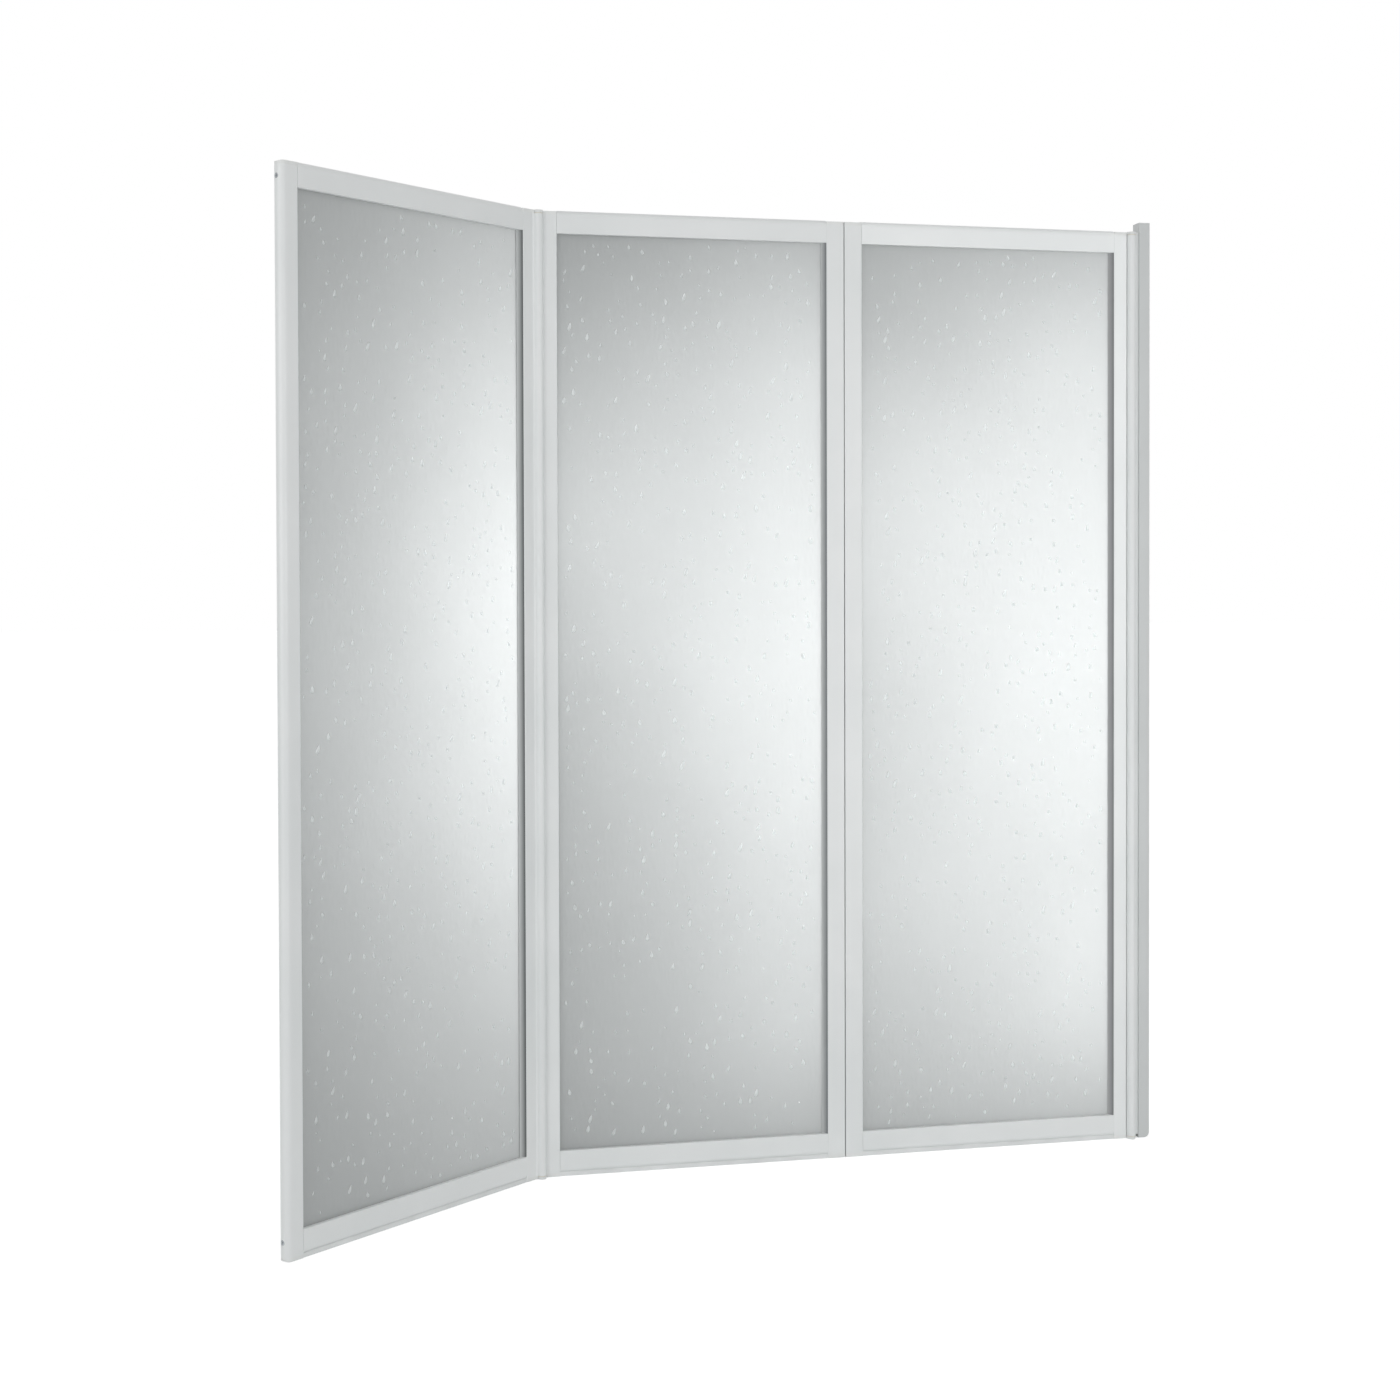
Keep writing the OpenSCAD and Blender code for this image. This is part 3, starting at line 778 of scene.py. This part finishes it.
@dataclass
class RainRelief:
    """The raindrops cast on the front of one pane.

    Every drop is a low dome like a running tear: taller than wide, and narrower at its top.
    """

    least_gap_mm: float = 12.0
    most_per_m2: float = 2100.0
    sides: int = 10
    rings: int = 5
    small_mm: float = 2.2
    large_mm: float = 6.0
    rarity: float = 1.5
    slimness: float = 1.7
    least_stretch: float = 0.7
    most_stretch: float = 1.4
    foot_width: float = 1.15
    tip_width: float = 0.45
    relief_share: float = 0.22
    lean_deg: float = 24.0
    root_mm: float = 0.1

    def dome(self, tree: bpy.types.NodeTree) -> bpy.types.NodeSocket:
        """Shape one drop, 1 across and 1 tall, with its flat back towards +Y.

        Args:
            tree: The tree that the nodes go into.

        Returns:
            The socket that gives the drop's mesh.
        """
        radius = 0.5
        ball = add_node(
            tree,
            "GeometryNodeMeshUVSphere",
            {"Segments": self.sides, "Rings": self.rings, "Radius": radius},
        )
        where = add_node(
            tree,
            "ShaderNodeSeparateXYZ",
            links={0: add_node(tree, "GeometryNodeInputPosition").outputs[0]},
        )
        taper = add_node(
            tree,
            "ShaderNodeMapRange",
            {
                "From Min": -radius,
                "From Max": radius,
                "To Min": self.foot_width,
                "To Max": self.tip_width,
            },
            {"Value": where.outputs["Z"]},
        )
        narrowed = add_node(
            tree,
            "ShaderNodeMath",
            {"operation": "MULTIPLY"},
            {0: where.outputs["X"], 1: taper.outputs["Result"]},
        )
        # The back is pressed flat and lies a little inside the pane, so each drop is closed.
        flattened = add_node(
            tree,
            "ShaderNodeMath",
            {"operation": "MINIMUM", "#1": self.root_mm / self.large_mm},
            {0: where.outputs["Y"]},
        )
        tear = add_node(
            tree,
            "ShaderNodeCombineXYZ",
            links={
                "X": narrowed.outputs["Value"],
                "Y": flattened.outputs["Value"],
                "Z": where.outputs["Z"],
            },
        )
        drop = add_node(
            tree,
            "GeometryNodeSetPosition",
            links={"Geometry": ball.outputs["Mesh"], "Position": tear.outputs["Vector"]},
        )
        return drop.outputs["Geometry"]

    def size(
        self, tree: bpy.types.NodeTree, given: bpy.types.NodeOutputs
    ) -> bpy.types.NodeSocket:
        """Draw a width and a height for each drop. Small drops come more often than large ones.

        Args:
            tree: The tree that the nodes go into.
            given: The group's inputs.

        Returns:
            The socket that gives each drop's width, relief and height.
        """
        chance = add_node(
            tree, "FunctionNodeRandomValue", {"data_type": "FLOAT"}, {"Seed": given["Seed"]}
        )
        rare = add_node(
            tree,
            "ShaderNodeMath",
            {"operation": "POWER", "#1": self.rarity},
            {0: chance.outputs[1]},
        )
        width = add_node(
            tree,
            "ShaderNodeMapRange",
            links={
                "Value": rare.outputs["Value"],
                "To Min": given["Small Width"],
                "To Max": given["Large Width"],
            },
        )
        tall_by = add_node(
            tree,
            "FunctionNodeRandomValue",
            {"data_type": "FLOAT", "#2": self.least_stretch, "#3": self.most_stretch},
        )
        slim = add_node(
            tree,
            "ShaderNodeMath",
            {"operation": "MULTIPLY"},
            {0: given["Slimness"], 1: tall_by.outputs[1]},
        )
        height = add_node(
            tree,
            "ShaderNodeMath",
            {"operation": "MULTIPLY"},
            {0: width.outputs["Result"], 1: slim.outputs["Value"]},
        )
        relief = add_node(
            tree,
            "ShaderNodeMath",
            {"operation": "MULTIPLY"},
            {0: width.outputs["Result"], 1: given["Relief Share"]},
        )
        size = add_node(
            tree,
            "ShaderNodeCombineXYZ",
            links={
                "X": width.outputs["Result"],
                "Y": relief.outputs["Value"],
                "Z": height.outputs["Value"],
            },
        )
        return size.outputs["Vector"]

    def lean(
        self, tree: bpy.types.NodeTree, given: bpy.types.NodeOutputs
    ) -> bpy.types.NodeSocket:
        """Lean each drop a little to the left or right.

        Args:
            tree: The tree that the nodes go into.
            given: The group's inputs.

        Returns:
            The socket that gives each drop's rotation.
        """
        turn = add_node(
            tree, "FunctionNodeRandomValue", {"data_type": "FLOAT", "#2": -1.0, "#3": 1.0}
        )
        angle = add_node(
            tree,
            "ShaderNodeMath",
            {"operation": "MULTIPLY"},
            {0: turn.outputs[1], 1: given["Lean"]},
        )
        angles = add_node(tree, "ShaderNodeCombineXYZ", links={"Y": angle.outputs["Value"]})
        rotation = add_node(
            tree, "FunctionNodeEulerToRotation", links={0: angles.outputs["Vector"]}
        )
        return rotation.outputs["Rotation"]

    def tree(self, material: bpy.types.Material) -> bpy.types.NodeTree:
        """Build the node group that scatters drops over a flat face that looks along -Y.

        Args:
            material: The drops' material.

        Returns:
            The group, with named inputs for the drops' sizes, spacing and seed.
        """
        tree = bpy.data.node_groups.new("rain_relief", "GeometryNodeTree")
        sockets = tree.interface
        sockets.new_socket("Pane Face", in_out="INPUT", socket_type="NodeSocketGeometry")
        for name, value in (
            ("Least Gap", self.least_gap_mm * MM),
            ("Most Per Area", self.most_per_m2),
            ("Small Width", self.small_mm * MM),
            ("Large Width", self.large_mm * MM),
            ("Slimness", self.slimness),
            ("Relief Share", self.relief_share),
            ("Lean", math.radians(self.lean_deg)),
        ):
            socket = sockets.new_socket(name, in_out="INPUT", socket_type="NodeSocketFloat")
            socket.default_value = value
        sockets.new_socket("Seed", in_out="INPUT", socket_type="NodeSocketInt")
        sockets.new_socket("Relief", in_out="OUTPUT", socket_type="NodeSocketGeometry")
        given = add_node(tree, "NodeGroupInput").outputs
        points = add_node(
            tree,
            "GeometryNodeDistributePointsOnFaces",
            {"distribute_method": "POISSON"},
            {
                "Mesh": given["Pane Face"],
                "Distance Min": given["Least Gap"],
                "Density Max": given["Most Per Area"],
                "Seed": given["Seed"],
            },
        )
        drops = add_node(
            tree,
            "GeometryNodeInstanceOnPoints",
            links={
                "Points": points.outputs["Points"],
                "Instance": self.dome(tree),
                "Rotation": self.lean(tree, given),
                "Scale": self.size(tree, given),
            },
        )
        real = add_node(
            tree, "GeometryNodeRealizeInstances", links={"Geometry": drops.outputs["Instances"]}
        )
        smooth = add_node(
            tree, "GeometryNodeSetShadeSmooth", links={"Geometry": real.outputs["Geometry"]}
        )
        clad = add_node(
            tree,
            "GeometryNodeSetMaterial",
            {"Material": material},
            {"Geometry": smooth.outputs["Geometry"]},
        )
        add_node(tree, "NodeGroupOutput", links={0: clad.outputs["Geometry"]})
        return tree

    def scatter(
        self,
        name: str,
        low: Vector,
        high: Vector,
        seed: int,
        material: bpy.types.Material,
    ) -> bpy.types.Object:
        """Scatter drops over an upright rectangle that looks along -Y.

        Args:
            name: The piece's name.
            low: The rectangle's lower corner at the smaller X, on the pane's front.
            high: The rectangle's upper corner at the larger X.
            seed: The seed of the scatter, which differs from pane to pane.
            material: The drops' material.

        Returns:
            The relief as a plain mesh object in the flat panel's place.
        """
        piece = flat_piece(
            name,
            [
                (low.x, low.y, low.z),
                (high.x, low.y, low.z),
                (high.x, low.y, high.z),
                (low.x, low.y, high.z),
            ],
        )
        tree = self.tree(material)
        modifier = piece.modifiers.new("rain_relief", "NODES")
        modifier.node_group = tree
        seed_input = next(item for item in tree.interface.items_tree if item.name == "Seed")
        modifier[seed_input.identifier] = seed
        bpy.context.view_layer.update()
        evaluated = piece.evaluated_get(bpy.context.evaluated_depsgraph_get())
        drops = bpy.data.meshes.new_from_object(evaluated)
        piece.modifiers.remove(modifier)
        piece.data = drops
        return piece


@dataclass
class Panel:
    """One framed pane with everything that turns with it.

    Its places are those of the flat panel, before the fold of the photograph's pose.
    """

    name: PanelName
    right_edge_m: float
    gasket: WedgeRubberPaintedShade
    seed: int
    fold_deg: float = 0.0
    fold_axis_m: tuple[float, float] = (0.0, 0.0)
    daylight_w_m: float = 0.400
    daylight_low_m: float = 0.0365
    daylight_high_m: float = 1.3535
    pane_front_m: float = -0.0015
    gasket_w_m: float = 0.0072
    relief: RainRelief = field(default_factory=RainRelief)

    @property
    def body(self) -> str:
        """Return the name of the CAD body that the panel's pieces ride on."""
        return f"{self.name.value}_panel"

    @property
    def parts(self) -> dict[str, Finish]:
        """Tell what each of the panel's CAD nodes is made in.

        Returns:
            The finishes by the end of the node's name. No panel has every part.
        """
        return {
            "right_stile": Finish.FRAME,
            "left_stile": Finish.FRAME,
            "top_rail": Finish.FRAME,
            "bottom_rail": Finish.FRAME,
            "pane": Finish.PANE,
            "glazing_strips": Finish.SEAL,
            "bottom_seal": Finish.SEAL,
            "corner_screws": Finish.STEEL,
            "stile_caps": Finish.MOULDING,
            "end_caps": Finish.MOULDING,
        }

    def placed(self) -> Matrix:
        """Work out where the photograph's pose puts the flat panel.

        Returns:
            The matrix that takes the flat panel to its place in that pose.
        """
        x, y = self.fold_axis_m
        to_axis = Matrix.Translation((x, y, 0.0))
        return to_axis @ Matrix.Rotation(math.radians(self.fold_deg), 4, "Z") @ to_axis.inverted()

    def dress(self, finishes: Finishes) -> None:
        """Give each CAD node of the panel its finish.

        Args:
            finishes: The materials.
        """
        for part, finish in self.parts.items():
            node = f"{self.name.value}_{part}"
            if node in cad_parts:
                finishes.dress(node, finish)
        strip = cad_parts[f"{self.name.value}_gasket"].data
        strip.materials.clear()
        strip.materials.append(self.gasket.build(self.placed().inverted()))
        LOG.info("dressed %s_gasket in %s", self.name.value, self.gasket.name)

    def rain(self, finishes: Finishes) -> bpy.types.Object:
        """Add the raindrop relief to the pane's front.

        Args:
            finishes: The materials.

        Returns:
            The relief, which rides on the panel's body.
        """
        edge = self.relief.large_mm * MM * self.relief.slimness
        low = Vector(
            (
                self.right_edge_m - self.daylight_w_m + edge,
                self.pane_front_m,
                self.daylight_low_m + edge,
            )
        )
        high = Vector(
            (
                self.right_edge_m - self.gasket_w_m - edge,
                self.pane_front_m,
                self.daylight_high_m - edge,
            )
        )
        piece = self.relief.scatter(
            f"{self.name.value}_rain_relief", low, high, self.seed, finishes.of(Finish.DROP)
        )
        piece.data.transform(self.placed())
        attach(piece, self.body)
        LOG.info("%s: %d faces of raindrops", piece.name, len(piece.data.polygons))
        return piece


@dataclass
class Hinge:
    """The small parts of one of the three upright hinges."""

    name: str

    def dress(self, finishes: Finishes) -> None:
        """Give each CAD node of the hinge its finish.

        Args:
            finishes: The materials.
        """
        for part, finish in (
            ("bracket_top", Finish.MOULDING),
            ("bracket_bottom", Finish.MOULDING),
            ("pins", Finish.STEEL),
            ("bushes", Finish.BUSH),
            ("seal", Finish.SEAL),
            ("screws", Finish.STEEL),
        ):
            finishes.dress(f"{self.name}_hinge_{part}", finish)


@dataclass
class WallSide:
    """The wall profile and the adjusting profile that slides in it."""

    parts: dict[str, Finish] = field(
        default_factory=lambda: {
            "wall_profile": Finish.WALL,
            "wall_profile_cap_top": Finish.WALL,
            "wall_profile_cap_bottom": Finish.WALL,
            "clamp_screws": Finish.STEEL,
            "adjusting_profile": Finish.FRAME,
            "adjusting_profile_caps": Finish.MOULDING,
        }
    )

    def dress(self, finishes: Finishes) -> None:
        """Give each CAD node at the wall its finish.

        Args:
            finishes: The materials.
        """
        for node, finish in self.parts.items():
            finishes.dress(node, finish)


# ---- Studio ----


@dataclass(frozen=True)
class Lamp:
    """A soft rectangular lamp, which the eye doesn't see. Lengths are in metres, power in watts."""

    name: str
    place: tuple[float, float, float]
    target: tuple[float, float, float]
    size: tuple[float, float]
    power: float

    def build(self, lights_only: bpy.types.Collection | None = None) -> bpy.types.Object:
        """Add the lamp, aimed at its target.

        Args:
            lights_only: The pieces that it lights, or none for everything. A lamp for a few
                pieces shows in no reflection.

        Returns:
            The lamp's object.
        """
        data = bpy.data.lights.new(self.name, "AREA")
        data.shape = "RECTANGLE"
        data.size, data.size_y = self.size
        data.energy = self.power
        # Rays that leave the panes by chance would miss a hidden lamp, so it is only sampled.
        data.cycles.use_multiple_importance_sampling = False
        lamp = bpy.data.objects.new(self.name, data)
        bpy.context.scene.collection.objects.link(lamp)
        lamp.location = self.place
        aim = Vector(self.target) - Vector(self.place)
        lamp.rotation_euler = aim.to_track_quat("-Z", "Y").to_euler()
        lamp.visible_camera = False
        lamp.visible_glossy = not lights_only
        lamp.visible_transmission = False
        if lights_only:
            lamp.light_linking.receiver_collection = lights_only
        LOG.info("lamp %s of %.1f W", self.name, self.power)
        return lamp


@dataclass(frozen=True)
class Glow:
    """A soft lamp behind each pane, placed from the right edge of the pane's daylight.

    The powers are for the inner, middle and outer pane, and a lamp of no power is left out.
    """

    name: str
    beyond_edge_m: float
    level_m: float
    behind_m: float
    size_m: tuple[float, float]
    powers: tuple[float, float, float]

    def behind(self, panel: Panel, power: float) -> Lamp:
        """Place the lamp behind a panel in the photograph's pose, square to its pane.

        Args:
            panel: The panel.
            power: The lamp's power in watts.

        Returns:
            The lamp.
        """
        across = panel.right_edge_m + self.beyond_edge_m
        place = panel.placed() @ Vector((across, self.behind_m, self.level_m))
        target = panel.placed() @ Vector((across, 0.0, self.level_m))
        return Lamp(
            f"{self.name}_{panel.name.value}", tuple(place), tuple(target), self.size_m, power
        )


@dataclass
class Studio:
    """White floor and surroundings, soft lamps and the photograph's camera."""

    floor_half_m: float = 30.0
    floor_drop_m: float = 0.0005
    floor_colour: str = "#E8E9E9"
    floor_values: tuple[float, float] = (0.99, 1.01)
    floor_clouds_per_m: float = 3.0
    floor_lift: float = 0.62
    ambient: float = 0.5
    camera_place: tuple[float, float, float] = (-1.3059, -2.7940, 0.8627)
    camera_turn_deg: float = -12.216
    camera_pitch_deg: float = -0.864
    camera_roll_deg: float = 0.156
    lens_mm: float = 50.36
    sensor_w_mm: float = 36.0
    shift_up: float = -0.0671
    sight_m: float = 200.0
    front_lamps: tuple[Lamp, ...] = (
        Lamp("key_left", (-3.6, -2.9, 1.1), (-0.7, 0.0, 0.75), (2.2, 2.4), 30.0),
        Lamp("key_high", (-1.6, -3.2, 3.0), (-0.7, 0.0, 0.75), (2.0, 1.6), 7.2),
        Lamp("fill_right", (0.5, -2.2, 0.7), (-0.2, 0.0, 0.7), (0.8, 1.6), 11.1),
    )
    wall_side_lamp: Lamp = Lamp(
        "fill_wall_side", (0.1, -1.0, 1.1), (-0.05, 0.0, 1.1), (0.3, 0.5), 1.3
    )
    wall_side_nodes: tuple[str, ...] = ("inner_right_stile", "inner_top_rail")
    back_lamp: Lamp = Lamp("fill_back", (-1.0, 3.4, 1.3), (-0.7, 0.0, 0.75), (2.4, 2.0), 26.0)
    glows: tuple[Glow, ...] = (
        Glow("glow_wide", 0.10, 0.78, 0.60, (0.3, 0.9), (2.7, 0.6, 0.0)),
        Glow("glow_far", -0.15, 0.85, 0.80, (0.4, 0.6), (6.0, 3.4, 0.0)),
        Glow("glow_middle", -0.12, 0.70, 0.35, (0.25, 0.4), (0.5, 0.75, 0.0)),
        Glow("glow_middle_high", -0.20, 1.05, 0.40, (0.3, 0.3), (0.2, 0.5, 0.0)),
        Glow("glow_middle_low", -0.20, 0.35, 0.40, (0.3, 0.3), (0.3, 0.45, 0.0)),
        Glow("glow_edge", 0.05, 0.75, 0.30, (0.2, 0.5), (0.65, 1.3, 0.0)),
        Glow("glow_edge_high", 0.05, 1.00, 0.30, (0.2, 0.4), (0.2, 0.33, 0.0)),
        Glow("glow_edge_low", 0.05, 0.45, 0.30, (0.2, 0.4), (0.52, 0.6, 0.0)),
        Glow("glow_edge_top", 0.0, 1.20, 0.25, (0.2, 0.2), (0.45, 0.48, 0.0)),
        Glow("glow_edge_foot", 0.0, 0.20, 0.25, (0.2, 0.2), (0.68, 0.56, 0.0)),
        Glow("glow_left_high", -0.36, 0.95, 0.25, (0.15, 0.3), (0.38, 0.38, 0.0)),
        Glow("glow_left_low", -0.36, 0.35, 0.25, (0.15, 0.3), (0.33, 0.0, 0.0)),
        Glow("glow_left_foot", -0.30, 0.10, 0.20, (0.3, 0.1), (0.11, 0.1, 0.0)),
        Glow("glow_left", -0.33, 0.75, 0.40, (0.2, 0.8), (0.24, 0.0, 0.0)),
        Glow("glow_fold_wide", 0.10, 0.78, 0.60, (0.3, 0.9), (0.0, 0.0, 1.2)),
        Glow("glow_fold_tall", 0.05, 0.75, 0.55, (0.2, 0.6), (0.0, 0.0, 1.0)),
        Glow("glow_fold_middle", 0.05, 0.75, 0.55, (0.2, 0.2), (0.0, 0.0, 1.7)),
        Glow("glow_fold_high", 0.10, 1.00, 0.60, (0.3, 0.3), (0.0, 0.0, 2.0)),
        Glow("glow_fold_foot", 0.0, 0.10, 0.60, (0.3, 0.2), (0.0, 0.0, 0.75)),
        Glow("glow_fold_beyond", 0.30, 0.75, 0.60, (0.3, 0.6), (0.0, 0.0, 4.1)),
        Glow("glow_fold_beyond_high", 0.30, 1.05, 0.60, (0.3, 0.3), (0.0, 0.0, 2.6)),
        Glow("glow_fold_beyond_low", 0.30, 0.45, 0.60, (0.3, 0.3), (0.0, 0.0, 2.5)),
    )

    def surroundings(self) -> None:
        """Make the world: plain white to the eye, a softer grey as light."""
        world = bpy.data.worlds.new("studio_surroundings")
        world.use_nodes = True
        tree = world.node_tree
        tree.nodes.clear()
        level = add_node(
            tree,
            "ShaderNodeMapRange",
            {"To Min": self.ambient, "To Max": 1.0},
            {"Value": seen_directly(tree)},
        )
        glow = add_node(
            tree,
            "ShaderNodeBackground",
            {"Color": (1.0, 1.0, 1.0, 1.0)},
            {"Strength": level.outputs["Result"]},
        )
        add_node(tree, "ShaderNodeOutputWorld", links={"Surface": glow.outputs["Background"]})
        bpy.context.scene.world = world

    def floor(self) -> bpy.types.Object:
        """Add the pale floor just under the screen.

        Returns:
            The floor's object.
        """
        half, level = self.floor_half_m, -self.floor_drop_m
        floor = flat_piece(
            "studio_floor",
            [
                (-half, -half, level),
                (half, -half, level),
                (half, half, level),
                (-half, half, level),
            ],
        )
        material, tree = new_material("pale_studio_floor")
        place = add_node(tree, "ShaderNodeTexCoord")
        clouds = add_node(
            tree,
            "ShaderNodeTexNoise",
            {"Scale": self.floor_clouds_per_m, "Detail": 2.0},
            {"Vector": place.outputs["Object"]},
        )
        tint = shaded(tree, self.floor_colour, clouds.outputs["Fac"], self.floor_values)
        matt = add_node(tree, "ShaderNodeBsdfDiffuse", links={"Color": tint})
        # The floor goes white to the eye and keeps the screen's shadow.
        lift = add_node(
            tree,
            "ShaderNodeMath",
            {"operation": "MULTIPLY", "#1": self.floor_lift},
            {0: seen_directly(tree)},
        )
        glow = add_node(tree, "ShaderNodeEmission", links={"Strength": lift.outputs["Value"]})
        both = add_node(
            tree,
            "ShaderNodeAddShader",
            links={0: matt.outputs["BSDF"], 1: glow.outputs["Emission"]},
        )
        add_node(tree, "ShaderNodeOutputMaterial", links={"Surface": both.outputs["Shader"]})
        floor.data.materials.append(material)
        return floor

    def camera(self) -> bpy.types.Object:
        """Add the photograph's camera and make it the scene's.

        Returns:
            The camera's object.
        """
        data = bpy.data.cameras.new("photo_camera")
        data.lens = self.lens_mm
        data.sensor_width = self.sensor_w_mm
        data.shift_y = self.shift_up
        data.clip_end = self.sight_m
        camera = bpy.data.objects.new("photo_camera", data)
        bpy.context.scene.collection.objects.link(camera)
        camera.location = self.camera_place
        camera.rotation_euler = (
            math.radians(90.0 + self.camera_pitch_deg),
            math.radians(self.camera_roll_deg),
            math.radians(self.camera_turn_deg),
        )
        bpy.context.scene.camera = camera
        return camera

    def lamps(self, panels: list[Panel], reliefs: list[bpy.types.Object]) -> None:
        """Add the lamps: a few in front for the frames, and the glows behind each pane.

        Args:
            panels: The three panels, from the wall outwards.
            reliefs: The raindrop relief of each panel, in the same order.
        """
        for lamp in self.front_lamps:
            lamp.build()
        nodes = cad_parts
        wall_side = [nodes[name] for name in self.wall_side_nodes]
        self.wall_side_lamp.build(lit_group("lit_wall_side", wall_side))
        # The frames' backs get a lamp of their own, which leaves the glow of the panes alone.
        backs = [nodes[name] for name in nodes if not name.endswith(("_pane", "_gasket"))]
        self.back_lamp.build(lit_group("lit_backs", backs))
        for number, (panel, relief) in enumerate(zip(panels, reliefs)):
            pane = nodes[f"{panel.name.value}_pane"]
            lit = lit_group(f"lit_{panel.name.value}", [pane, relief])
            for glow in self.glows:
                if glow.powers[number]:
                    glow.behind(panel, glow.powers[number]).build(lit)

    def build(self, panels: list[Panel], reliefs: list[bpy.types.Object]) -> None:
        """Set up the whole studio.

        Args:
            panels: The three panels, from the wall outwards.
            reliefs: The raindrop relief of each panel, in the same order.
        """
        bpy.context.scene.view_settings.view_transform = "Standard"
        self.surroundings()
        self.floor()
        self.camera()
        self.lamps(panels, reliefs)


def main() -> None:
    """Dress the screen, add the raindrops and set up the studio."""
    logging.basicConfig(level=logging.INFO, format="%(name)s: %(message)s")
    finishes = Finishes()
    # Each gasket's lip and root colours are painted shade, darkest on the outer panel.
    panels = [
        Panel(
            PanelName.INNER,
            right_edge_m=-0.057,
            gasket=WedgeRubberPaintedShade("gasket_painted_shade_inner", "#A9AAAB", "#7F8082"),
            seed=11,
        ),
        Panel(
            PanelName.MIDDLE,
            right_edge_m=-0.511,
            gasket=WedgeRubberPaintedShade("gasket_painted_shade_middle", "#C0C3C3", "#777A7D"),
            seed=23,
        ),
        Panel(
            PanelName.OUTER,
            right_edge_m=-0.965,
            fold_deg=38.0,
            fold_axis_m=(-0.938, -0.012),
            gasket=WedgeRubberPaintedShade("gasket_painted_shade_outer", "#C6C9C9", "#555859"),
            seed=37,
        ),
    ]
    WallSide().dress(finishes)
    for name in ("wall", "middle", "outer"):
        Hinge(name).dress(finishes)
    reliefs = []
    for panel in panels:
        panel.dress(finishes)
        reliefs.append(panel.rain(finishes))
    Studio().build(panels, reliefs)


if __name__ == "__main__":
    main()
